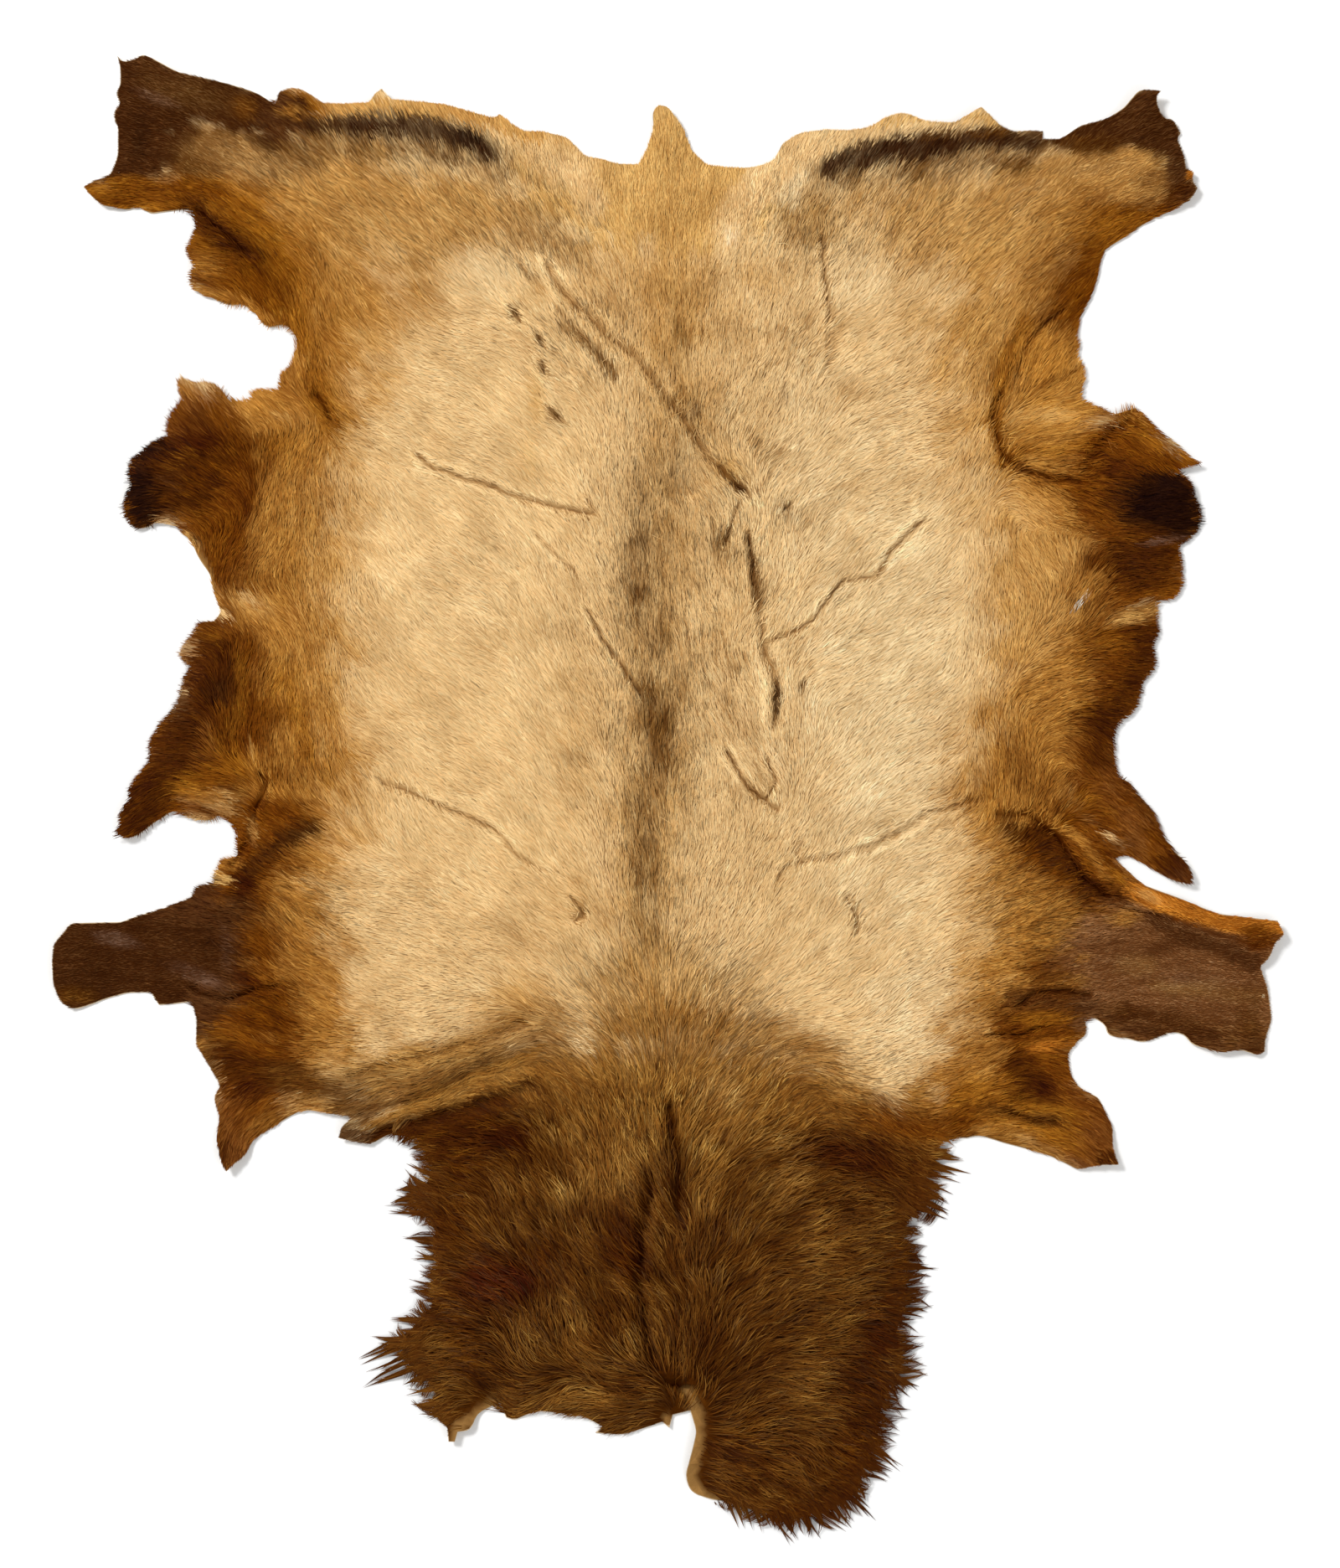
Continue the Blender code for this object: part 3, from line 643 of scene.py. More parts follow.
chance = np.random.default_rng(13)
CREASES = tuple(Crease(*row[:4], worn(groups(row[4]), chance)) for row in (
    # name, half width in mm, depth in mm, how dark with roots and painted shade, path on the plan
    ("upper diagonal, start", 7, 4, 0.8, "653,322 668,345 690,368"),
    ("upper diagonal", 8, 4, 0.75, "690,368 730,405 762,430 790,470 815,500"),
    ("upper diagonal, end", 8, 5, 0.95, "815,500 840,540 862,562 885,585"),
    ("upper diagonal, twin", 5, 3, 0.5, "668,372 690,395 715,425 735,452"),
    ("knot", 6, 5, 1.0, "862,562 880,580 896,592"),
    ("below the knot", 5, 4, 0.8, "884,598 876,622 866,650"),
    ("hook left of it", 4, 3, 0.7, "850,625 858,645 868,652"),
    ("spine crease, top", 5, 4, 0.7, "893,640 897,670 900,700 908,745 908,765"),
    ("spine crease", 8, 6, 1.0, "910,770 922,795 928,830 926,868"),
    ("right rib", 4, 3, 0.9, "908,771 940,760 970,740 990,712 1005,695 1045,688"),
    ("right rib, end", 5, 3, 0.9, "1048,686 1060,665 1075,648 1100,622"),
    ("hook, left arm", 5, 5, 1.0, "870,898 882,922 896,942 908,953 930,968"),
    ("hook, right arm", 4, 4, 0.9, "915,905 928,935 914,955"),
    ("left rib", 5, 4, 0.9, "500,545 520,560 560,572 600,588 640,600 672,608 712,615"),
    ("left rib, twin", 4, 2, 0.5, "640,637 668,668 690,688"),
    ("left back", 4, 4, 0.9, "702,730 722,765 738,790 752,812 766,832"),
    ("left loin", 5, 3, 0.8, "455,935 500,950 540,968 580,985 600,998"),
    ("left loin, end", 4, 2, 0.5, "600,998 618,1022 645,1038 668,1042"),
    ("left loin, tuft", 4, 4, 0.9, "684,1072 694,1078 696,1096 686,1100"),
    ("right loin", 6, 3, 0.5, "1175,955 1140,962 1110,970 1080,990 1040,1010 1000,1024 955,1030"),
    ("right loin, fork", 4, 3, 0.6, "960,1030 935,1035 928,1052"),
    ("right loin, branch", 4, 2, 0.5, "948,1005 956,1028"),
    ("right shoulder tuft", 5, 3, 0.7, "1012,1072 1020,1090 1024,1112"),
    ("right rear crease", 5, 4, 0.8, "981,281 983,320 988,348 990,382"),
    ("right rear bend", 4, 2, 0.4, "990,400 992,430 975,455"),
    ("left small crease", 4, 2, 0.5, "545,278 552,286"),
    ("tuft mark, one", 5, 4, 0.9, "622,318 634,334"),
    ("tuft mark, two", 5, 4, 0.9, "612,366 622,386"),
    ("tuft mark, three", 5, 4, 1.0, "642,398 648,412"),
    ("tuft mark, four", 5, 4, 0.9, "646,430 650,448"),
    ("tuft mark, five", 4, 3, 0.8, "656,488 672,504"),
    ("tuft mark, six", 4, 3, 0.8, "701,598 712,610"),
    ("right tuft mark", 5, 4, 0.9, "936,608 946,600"),
    ("right tuft mark, low", 4, 3, 0.8, "955,822 962,812"),
    ("elbow slit", 4, 5, 1.0, "312,925 319,935 312,950 305,965"),
    ("elbow slit, tail", 5, 4, 0.8, "305,965 303,985 297,1005 275,1035"),
    ("mane parting", 11, 9, 1.0, "797,1322 803,1350 808,1390 812,1430 814,1456"),
    # painted shadow left of the mane's ridge
    ("left of the mane's ridge", 12, 8, 0.7, "780,1412 770,1470 765,1530 770,1585 782,1632"),
    ("mane gap", 9, 8, 1.0, "795,1648 808,1656 820,1662"),
    # painted shadow beneath the neck fold
    ("under the neck fold", 10, 7, 0.35, "640,1295 590,1312 520,1334 450,1352"),
    ("above the neck fold", 8, 3, 0.25, "640,1215 590,1235 500,1262 420,1284"),
    ("groin flap, upper", 8, 6, 0.9, "236,250 262,272 300,305"),
    ("left groin", 6, 4, 0.6, "376,470 392,490 398,505"),
    ("right groin", 8, 5, 0.8, "1196,470 1184,500 1192,530 1200,548"),
    ("right groin, fold", 6, 4, 0.6, "1200,548 1230,565 1290,575"),
    ("right groin, curls", 5, 3, 0.6, "1215,452 1222,420 1240,392 1268,370"),
    ("right tuft fold", 6, 4, 0.7, "1292,566 1308,532 1335,510 1350,500"),
    ("right armpit", 7, 5, 0.9, "1190,972 1230,974 1262,1000 1290,1045 1320,1070"),
    ("right foreleg edge", 5, 3, 0.6, "1350,1085 1400,1098 1460,1118 1500,1130"),
    ("right shoulder fold", 6, 5, 0.8, "1215,1200 1235,1186 1270,1182 1300,1190"),
    ("right shoulder tuck", 5, 4, 0.8, "1180,1236 1215,1236 1240,1228"),
    ("right shoulder strip", 6, 3, 0.6, "1195,1325 1235,1340 1262,1338"),
    ("left foreleg edge", 6, 4, 0.7, "232,1182 270,1196 300,1184 335,1178"),))
MILLIMETRE = 0.001
print(len(CREASES), "creases, the deepest", max(crease.depth for crease in CREASES), "mm")

# %% [markdown]
# A furrow could be cut into a mesh, but hair has to know of it too, to stop there and take its
# painted shade. So a crease stays a formula: furrow, banks and painted shade follow from how far a
# place is off its path.

# %% Furrow, banks and shade of a crease
def gap_to_path(x, y, path):
    """How far each place is from a path of plan points."""
    places = in_metres(path)
    nearest_gap = np.full(np.shape(x), 1e9)
    for start, end in zip(places, places[1:]):
        step = end - start
        share = np.clip(((x - start[0]) * step[0] + (y - start[1]) * step[1]) / (step @ step), 0, 1)
        nearest_gap = np.minimum(nearest_gap, np.hypot(x - start[0] - share * step[0],
                                                       y - start[1] - share * step[1]))
    return nearest_gap


def near_path(x, y, path, reach):
    """Which places lie in the box round a path."""
    places = np.array(in_metres(path))
    low, high = places.min(0) - reach, places.max(0) + reach
    return np.flatnonzero((x > low[0]) & (x < high[0]) & (y > low[1]) & (y < high[1]))


def crease_profile(x, y):
    """How deep the furrows and how high their banks are at each place, and its painted shade."""
    furrow, bank, shade = np.zeros((3, len(x)))
    for crease in CREASES:
        width = crease.half_width * MILLIMETRE
        near = near_path(x, y, crease.path, 4 * width)
        drift = (cloud(x[near], y[near], 0.014, 5) - 0.5) * 0.003
        gap = np.abs(gap_to_path(x[near] + drift, y[near] - drift, crease.path)) / width
        uneven = 0.3 + 0.7 * smooth(cloud(x[near], y[near], 0.011, 6) * 2.2 - 0.5)
        depth = crease.depth * MILLIMETRE
        furrow[near] = np.maximum(furrow[near], depth * np.exp(-(1.5 * gap) ** 2))
        bank[near] = np.maximum(bank[near], 0.5 * depth * np.exp(-((gap - 1.7) / 0.8) ** 2))
        # the thin core stands for dark roots and painted shade, the wide soft fringe for painted shade
        dark = 0.85 * uneven * np.exp(-(gap * 2.6) ** 2) + 0.22 * np.exp(-(gap * 0.75) ** 2)
        shade[near] = np.maximum(shade[near], crease.dark * dark)
    return furrow, bank, shade


print("furrow, bank and shade", crease_profile(*np.array([on_plan(925, 850)]).T))

# %% [markdown]
# Between the creases the coat is finely wrinkled, most of all right of the spine. Too many to draw,
# these lines appear by themselves where a soft cloud crosses its middle value. Each is a shallow
# furrow, and the hair and wool over it get painted shade. A table of soft spots says how strongly
# they show.

# %% Wrinkles
Spot = namedtuple("Spot", "column row across along value")
EVEN_COAT = 0.12
# column, row, across, along, how wrinkled
WRINKLED = [Spot(*row) for row in groups("""
    900,480,150,230,1.0 870,780,130,260,0.9 690,420,120,150,0.6 640,740,110,240,0.35
    1010,640,120,240,0.55 990,1010,130,150,0.5 690,1060,110,120,0.45 470,250,200,90,0.5
    1120,260,180,90,0.5""")]


def value_at(x, y, ground, spots, scale):
    """A number over the hide: its ground, and each spot's value where that reaches."""
    total = np.full(x.shape, float(ground))
    for spot in spots:
        centre_x, centre_y = on_plan(spot.column, spot.row)
        gap = np.hypot((x - centre_x) / (spot.across * SQUARE), (y - centre_y) / (spot.along * SQUARE))
        total += (spot.value * scale - total) * smooth((1 - gap) * 2.2)
    return total


wrinkle_field = value_at(grid_x, grid_y, EVEN_COAT, WRINKLED, 1)


def wrinkle_at(x, y):
    """Fine broken wrinkles of the coat, 0 to 1: thin lines where soft clouds cross their middle."""
    wide = np.exp(-((cloud(x, y, 0.036, 1) - 0.5) / 0.030) ** 2)
    fine = np.exp(-((cloud(x, y, 0.020, 4) - 0.5) / 0.055) ** 2)
    islands = smooth(cloud(x, y, 0.045, 7) * 3.2 - 1.3)
    return np.maximum(wide, 0.8 * fine) * islands * read(wrinkle_field, x, y)


print("most wrinkled", round(float(wrinkle_field.max()), 2))

# %% [markdown]
# Wool, hairs and ribbons all ask for the coat's height. It is the solid's top, lowered by furrows
# and wrinkles, lifted by banks, and rolling in two sizes of wave that grow with the pile.

# %% Height of the coat
WRINKLE_DEPTH = 0.0028
WAVES = (
    # size, layer of the cloud table, height
    (0.055, 6, 0.0050),
    (0.021, 7, 0.0024),
)
LEAST_PILE, LEAST_COAT, FULL_PILE = 0.002, 0.003, 0.010

pile = np.maximum(top - under - SKIN, LEAST_PILE)


def coat_top_at(x, y):
    """Height of the coat's surface, with the creases in it."""
    shape = np.shape(x)
    flat_x, flat_y = np.ravel(x), np.ravel(y)
    furrow, bank, _ = crease_profile(flat_x, flat_y)
    pile_here = read(pile, flat_x, flat_y)
    depth = np.minimum(furrow - bank + wrinkle_at(flat_x, flat_y) * WRINKLE_DEPTH, pile_here * 0.5)
    wave = sum((cloud(flat_x, flat_y, size, layer) - 0.5) * height for size, layer, height in WAVES)
    depth = depth - wave * np.clip(pile_here / FULL_PILE, 0, 1)
    height = np.maximum(read(top, flat_x, flat_y) - depth, read(under, flat_x, flat_y) + LEAST_COAT)
    return height.reshape(shape)


print("coat in the middle of the back", round(float(coat_top_at(0.0, 0.0)), 4), "m high")

# %% [markdown]
# The colours are mixed as a painter would: a straw ground over everything, then soft patches and
# bands laid over each other, from the widest to the smallest. The names are the coat's own, but two
# are painted light: a sheen on the legs and a highlight on the rump. Brown hair doesn't turn grey
# where it darkens, it turns browner, so blue is dimmed more than red.

# %% Names for the colours
HAIR_COLOURS = {
    "straw": (227, 189, 131), "pale straw": (236, 206, 154), "cream": (230, 190, 130),
    "glow": (242, 212, 164), "honey": (215, 167, 95), "amber": (188, 127, 50), "tan": (191, 140, 72),
    "grey tan": (174, 130, 74), "grey brown": (140, 98, 49), "olive": (126, 76, 16),
    "caramel": (199, 147, 77), "tawny": (168, 111, 42), "rust": (145, 87, 18),
    "orange": (178, 106, 30), "deep rust": (106, 54, 4), "bark": (71, 32, 2), "umber": (93, 53, 13),
    "ochre": (155, 104, 42), "nape": (132, 83, 28), "dark umber": (54, 25, 5),
    "red dark": (56, 16, 1), "near black": (30, 9, 2), "plum brown": (122, 78, 42),
    # the leg sheen colour is a painted sheen, the grey light that flat leg hair reflects
    "leg brown": (78, 43, 16), "leg sheen": (124, 92, 72), "white hair": (240, 228, 206),
    "raw skin": (150, 110, 60), "dusk": (112, 72, 28),
}
colours = {name: linear(*values) for name, values in HAIR_COLOURS.items()}
BROWNING = np.array((1, 1.35, 1.8))


def dim(tone, level):
    """Colours made darker or lighter as hair does it: the darker, the browner."""
    return tone * np.reshape(level, (-1, 1)) ** BROWNING


print(len(colours), "colours")

# %% [markdown]
# A patch is a soft oval: its row gives column, row, reach across and along, and turn. A band has a
# half width and a path. Both say how much colour they lay down, and may say how soft the border
# is, from 1 for faded to 0.2 for nearly crisp, and how far the colour breaks into islands.

# %% How a patch is written
Patch = namedtuple("Patch", "colour column row across along turn strength edge broken",
                   defaults=(0.9, 0))
Band = namedtuple("Band", "colour path half_width strength edge broken", defaults=(0.9, 0))


def painted(text):
    """Patches and bands from rows of plain text. A row that holds places is a band."""
    made = []
    for row in text.splitlines():
        words = row.split()
        if not words or words[0] == "#":
            continue
        colour = " ".join(word for word in words if word.isalpha())
        path = groups(" ".join(word for word in words if "," in word))
        values = [float(word) for word in words if not word.isalpha() and "," not in word]
        made.append(Band(colour, path, *values) if path else Patch(colour, *values))
    return made


print(painted("straw 0 0 10 10 0 1"))

# %% [markdown]
# The back is straw-coloured and palest over the ribs. A broken line of darker hair follows the
# spine, and creases and tuft marks have brown and dark patches beside them: roots that show where
# the hair parts, and painted shadow.

# %% The back
# painted shadows at two tuft marks
# painted shadows of the tuft marks
# the grey brown and bark patches here are painted shadows at tuft marks and crease hooks, and on the right
# of the spine crease
BACK = painted("""
pale straw 560 640 170 340 0 0.15
tan 620 1120 170 70 0 0.25 0.9 0.3
pale straw 1060 830 170 460 0 0.95
pale straw 1095 1210 90 110 0 0.8 0.8
tan 72 0.75 0.9 0.35 800,290 800,420 812,520 796,620 785,760 785,900 770,1040 770,1200
tan 700 880 60 200 0 0.4 0.9 0.5
tan 868 720 60 130 0 0.4 0.9 0.6
tan 872 380 60 90 0 0.35 0.9 0.4
tan 720 370 90 60 -30 0.45 0.9 0.4
grey brown 32 0.55 0.9 0.7 812,486 810,560 792,622
grey brown 46 0.75 0.9 0.7 768,650 766,700 785,790 785,870
ochre 826 878 28 34 0 0.5 0.9 0.3
ochre 898 872 18 28 0 0.5 0.9 0.3
dusk 26 0.85 0.8 0.15 772,825 786,865 786,905
grey brown 30 0.7 0.8 0.5 790,905 768,960 772,1030 776,1130
dusk 764 646 26 22 20 0.8 0.9 0.4
dusk 764 712 20 18 0 0.9 0.8 0.2
dusk 755 690 40 16 30 0.5 0.9 0.6
dusk 810 552 24 44 0 0.4 0.9 0.6
tan 695 1085 50 60 0 0.5 0.9 0.3
tan 822 1130 40 40 0 0.5 0.9 0.3
tan 905 332 60 36 0 0.6 0.9 0.2
tan 1096 374 50 44 0 0.6 0.9 0.2
dusk 766 970 14 36 12 0.45 0.8 0.2
dusk 772 1050 22 34 0 0.5 0.9 0.3
grey brown 690 905 36 16 0 0.45 0.9 0.4
dusk 790 870 26 44 0 0.5 0.9 0.1
dusk 26 0.3 0.9 0.4 768,590 766,700 785,790
umber 812 400 12 30 18 0.8 0.8 0.1
umber 828 492 14 14 0 0.7 0.8
grey brown 936 472 8 18 20 0.75 0.8
grey brown 640 330 22 14 0 0.7 0.8
dusk 616 372 9 20 -35 0.8 0.7
dusk 644 405 8 16 10 0.6 0.8
dusk 646 440 8 12 10 0.6 0.8
grey brown 662 494 14 14 0 0.8 0.8
grey brown 11 0.9 0.8 0.1 672,386 702,412 732,446
nape 872 568 34 24 -40 0.85 0.9 0.15
bark 880 581 17 9 -40 0.95 0.8
honey 868 560 40 30 -40 0.4
honey 640 480 16 50 0 0.6
honey 632 540 16 50 0 0.4
grey brown 11 0.85 0.8 0.1 893,636 899,676 908,716
umber 4 0.7 0.9 0.2 893,640 899,676 908,712
grey brown 938 610 14 26 20 0.85 0.8 0.2
grey brown 864 642 10 20 -30 0.9 0.8
ochre 868 840 20 40 20 0.6 0.9 0.4
bark 928 835 7 40 0 0.75 0.7
grey brown 956 820 10 14 0 0.6 0.8
ochre 900 950 26 14 -30 0.7 0.8 0.3
grey brown 1014 712 10 8 0 0.6 0.8
pale straw 965 560 60 220 0 0.6
straw 826 562 40 60 0 0.55 0.9 0.3
tan 645 345 26 18 0 0.7 0.9 0.2
grey tan 720 1170 50 50 0 0.6 0.9 0.3
grey tan 850 1170 60 26 0 0.5 0.9 0.3
grey brown 1022 1100 8 18 0 0.6 0.8
grey brown 697 1085 8 16 0 0.7 0.8""")
print(len(BACK), "patches and bands")

# %% [markdown]
# Down each side the order of colours is the same, so bands along the hide's edge give it better
# than spots would. Each is laid over the one before, and only a strip of that stays in sight.

# %% The flanks
FLANKS = painted("""
# from the back outward, the straw coat turns caramel, then tawny, then deep rust
deep rust 150 1 0.4 90,300 90,1000
deep rust 160 1 0.4 1500,470 1500,980
rust 250 1240 60 50 0 1 0.5
plum brown 1400 1225 150 44 8 1 0.5
caramel 150 0.96 0.7 370,240 360,330 350,430 335,520 325,640 325,760 335,880 335,970 305,1060 310,1160 \
    335,1260
tawny 115 0.94 0.7 0.06 260,250 320,330 330,430 325,510 298,590 296,680 302,780 322,860 340,920 328,980 \
    300,1040 308,1100 328,1170 335,1240
deep rust 80 0.97 0.6 235,290 292,340 312,385
deep rust 80 0.97 0.6 225,500 268,560 248,620 258,665
deep rust 82 0.97 0.6 252,785 262,830 276,870 215,915 160,975
deep rust 80 0.97 0.6 318,972 285,1040 250,1100 262,1165 305,1225 318,1275 270,1370
caramel 150 0.96 0.7 1300,250 1250,330 1215,440 1232,520 1256,580 1277,650 1275,720 1270,820 1248,880 \
    1236,950 1250,1020 1252,1100 1246,1180 1238,1240 1205,1320
tawny 108 0.94 0.7 0.06 1350,250 1278,330 1254,400 1256,470 1256,530 1300,585 1354,640 1354,700 \
    1342,770 1304,820 1258,880 1232,940 1250,1000 1276,1060 1272,1120 1250,1180 1228,1240 1182,1300
deep rust 84 0.97 0.7 1385,235 1342,262 1312,330 1300,360
deep rust 78 0.97 0.6 1350,525 1322,585 1372,640 1376,700 1354,770 1352,830 1332,880 1318,940 1350,970 \
    1410,1050
deep rust 70 0.97 0.6 1262,1000 1318,1062
deep rust 80 0.97 0.6 1262,1200 1236,1250 1250,1310 1310,1370""")
print(len(FLANKS), "patches and bands")

# %% [markdown]
# The rump has a honey patch with a cream edge and a small painted highlight, and a dark stripe on
# both sides of it. A stripe is several bands close together, because a single one would look
# printed.

# %% The rump and the hind legs
# cream spot of the rump, brightened with a painted highlight
# painted sheen on the hind leg
REAR = painted("""
grey brown 270 180 150 50 -4 1 0.5
caramel 1340 205 110 44 6 1 0.5
tan 505 262 190 104 -8 0.92 0.7
tan 450 385 120 95 0 0.75
tawny 372 290 56 80 -10 0.7
rust 74 0.95 0.8 180,238 250,246 300,285 338,345
deep rust 46 0.8 215,246 255,262 292,310 312,350
tawny 440 344 110 62 -14 0.8
deep rust 336 318 24 22 0 0.65
grey tan 300 188 120 34 -8 0.7 0.8
grey tan 480 295 130 90 0 0.4 0.9 0.2
pale straw 580 325 70 50 0 0.7
tan 1140 262 190 105 5 0.88 0.7
tawny 1290 250 60 50 20 0.6
rust 1322 272 62 46 20 0.8
tan 1190 385 90 80 0 0.75
pale straw 1025 330 60 60 0 0.6
tan 790 345 150 90 0 0.6 0.9 0.2
honey 798 212 196 104 0 0.97 0.28
grey tan 655 282 80 38 -32 0.85 0.6 0.1
grey tan 965 262 50 66 -10 0.9 0.5 0.1
honey 640 170 60 40 -25 0.6 0.7
straw 668 196 60 42 -25 0.55 0.8
pale straw 930 200 52 56 30 0.95 0.5
cream 32 0.95 0.6 874,276 888,245 912,212 948,182 1000,158
glow 874 282 15 15 0 0.8
cream 26 0.8 590,152 640,178 690,212 712,244
straw 1000 152 50 18 0 0.8 0.7
tan 790 170 16 30 0 0.35
tawny 800 268 60 40 0 0.25
caramel 15 0.95 0.5 380,126 450,126 520,130 590,142 640,160
rust 352 126 40 26 -12 0.95 0.4
dusk 34 0.8 0.8 0.6 330,176 400,172 470,176 540,184 592,196
dark umber 15 0.95 0.7 0.1 338,148 400,151 440,152
dark umber 22 0.97 0.7 0.08 425,149 480,151 530,157 562,168 582,182
dark umber 8 0.8 0.9 0.1 396,142 430,138 480,138 520,143
rust 350 128 34 14 0 0.6
cream 706 250 30 28 0 0.8
cream 690 195 66 44 -20 0.6
umber 14 0.75 0.9 0.15 1030,176 1100,170 1160,167 1240,166
near black 560 163 40 15 -16 0.7 0.8
grey brown 602 204 10 18 -40 0.35 0.8 0.3
honey 8 0.85 0.7 1040,147 1085,139 1140,139 1200,144
dusk 30 0.75 0.8 0.65 985,210 1060,200 1130,188 1220,186
dark umber 21 0.95 0.6 0.15 992,198 1020,188 1060,180 1120,172
dark umber 17 0.95 0.7 0.08 1105,171 1180,164 1240,172
dusk 1098 206 60 18 0 0.6 0.8 0.5
dark umber 20 0.65 0.9 0.3 1014,192 1050,186 1100,181 1140,175
umber 9 0.85 1100,160 1150,159 1200,158
dusk 11 0.55 0.8 1247,174 1232,188 1212,200
# left hind leg
leg brown 118 1 0.35 50,135 142,140
leg brown 40 1 0.4 150,95 250,118 335,142
rust 290 128 22 22 0 0.4 0.8
rust 27 0.94 0.45 85,236 150,232 240,236
deep rust 24 0.8 0.8 150,232 200,226 262,232
deep rust 125 240 34 14 0 0.7 0.8
deep rust 235 238 40 16 0 0.6
grey brown 240 185 50 30 -10 0.6
dusk 232 200 40 18 -10 0.6 0.9 0.3
dark umber 320 172 20 14 -40 0.7 0.8 0.3
dark umber 360 176 14 12 -40 0.6 0.8 0.3
leg sheen 185 116 46 10 -20 0.35
grey brown 226 112 100 30 -14 0.35 0.9 0.3
tawny 346 134 22 11 0 0.7
near black 165 165 18 44 0 0.45
# right hind leg
leg brown 34 1 0.45 1262,152 1310,148 1360,148 1410,165
umber 1296 174 70 20 0 0.7 0.9 0.1
leg brown 1372 126 40 30 0 1 0.4
leg brown 1408 200 36 58 8 0.95 0.6
grey tan 1310 200 70 16 4 0.6
deep rust 1375 212 34 24 0 0.6
bark 1412 225 24 18 0 0.8 0.8
orange 1422 208 9 8 0 0.95 0.4""")
print(len(REAR), "patches and bands")

# %% [markdown]
# Groin flap, lobe, elbow and foreleg are dark at their rims, and the skin's folds show as lighter
# rows of hair, partly a painted highlight on their ridges. The legs get a dull grey painted sheen,
# the light that their short, flat-lying hair reflects.

# %% The left side
# painted sheen on the foreleg
# thin lighter lines on the dark lobe: a painted swirl highlight
LEFT_SIDE = painted("""
# groin flap
bark 26 0.92 0.7 228,246 258,274 296,306
tawny 246 318 26 24 -10 0.5 0.8
tawny 12 0.85 0.6 236,346 290,362 320,386 348,392
deep rust 16 0.6 0.8 300,320 345,345 352,385 360,410
tawny 50 0.85 385,385 396,430 398,470
rust 28 0.8 358,380 374,430 382,470 386,505
deep rust 12 0.6 0.8 376,470 392,492 400,510
# curls
bark 232 500 44 24 -14 0.6
rust 340 530 36 26 0 0.7
tawny 36 0.65 360,545 388,570 396,600
tawny 224 464 22 16 0 0.6 0.8
tawny 322 482 44 20 0 0.75 0.7
honey 338 498 36 8 -10 0.45 0.8
tawny 308 545 14 12 0 0.6
# lobe
bark 208 568 76 62 10 0.97 0.5
near black 168 588 30 52 12 0.9 0.7
red dark 240 526 66 24 4 0.8
deep rust 7 0.6 222,590 234,572 248,558 266,556
rust 5 0.4 206,560 214,548 232,540
deep rust 272 632 34 20 0 0.8 0.8
tan 9 0.75 0.8 226,640 240,668 252,700 258,715
caramel 300 722 44 20 -25 0.7 0.8
straw 300 718 20 9 -25 0.45
cream 264 733 12 9 0 0.95 0.6
# elbow
bark 38 0.95 0.6 258,776 246,820 222,870 188,930 162,975
dark umber 262 828 28 24 0 0.7 0.8
olive 10 0.6 288,790 292,830 276,870 246,900
rust 258 758 22 12 0 0.7
deep rust 312 782 24 24 0 0.7
rust 24 0.7 345,820 362,862 372,900
rust 330 816 16 40 0 0.5
rust 24 0.85 0.8 222,945 262,922 292,915
tawny 304 908 18 26 0 0.6
caramel 299 893 10 7 -60 0.6
tawny 246 952 46 16 0 0.85
tawny 250 1042 20 16 0 0.8
near black 15 0.9 0.8 192,528 168,546 158,574 158,602 168,620
umber 302 1206 46 36 0 0.7 0.9 0.1
deep rust 254 924 28 26 0 0.75
tawny 290 944 18 12 0 0.85
tawny 315 494 26 14 0 0.8
deep rust 10 0.85 0.8 205,960 250,968 284,984
tawny 322 944 54 20 0 0.95
honey 384 896 12 24 0 0.45
# armpit
caramel 300 992 8 24 0 0.6 0.8
dark umber 20 0.85 372,990 335,1004 304,1032 286,1066
red dark 292 1056 24 28 20 0.85
tawny 276 1030 16 12 0 0.8 0.6
honey 9 0.9 0.5 222,1062 245,1050 268,1050
# foreleg and shoulder flap
leg brown 106 1 0.25 40,1145 205,1142
leg brown 292 1120 52 56 0 0.92 0.7
deep rust 44 0.85 316,1120 324,1180 316,1230
red dark 296 1162 24 26 0 0.75 0.8
leg sheen 140 1122 44 12 -14 0.65 0.9 0.4
leg sheen 236 1164 46 14 -20 0.4 0.9 0.4
leg sheen 270 1130 10 36 0 0.25 0.9 0.4
olive 90 1190 40 16 0 0.45
deep rust 298 1212 46 20 0 0.7
rust 262 1234 20 20 0 0.6
tawny 318 1240 20 9 10 0.5
bark 36 0.92 0.8 258,1262 300,1280 346,1290
red dark 292 1302 32 22 0 0.9 0.8
bark 330 1215 12 50 10 0.55
bark 264 1378 18 34 8 0.9 0.7
nape 322 1338 40 18 35 0.8 0.8""")
print(len(LEFT_SIDE), "patches and bands")
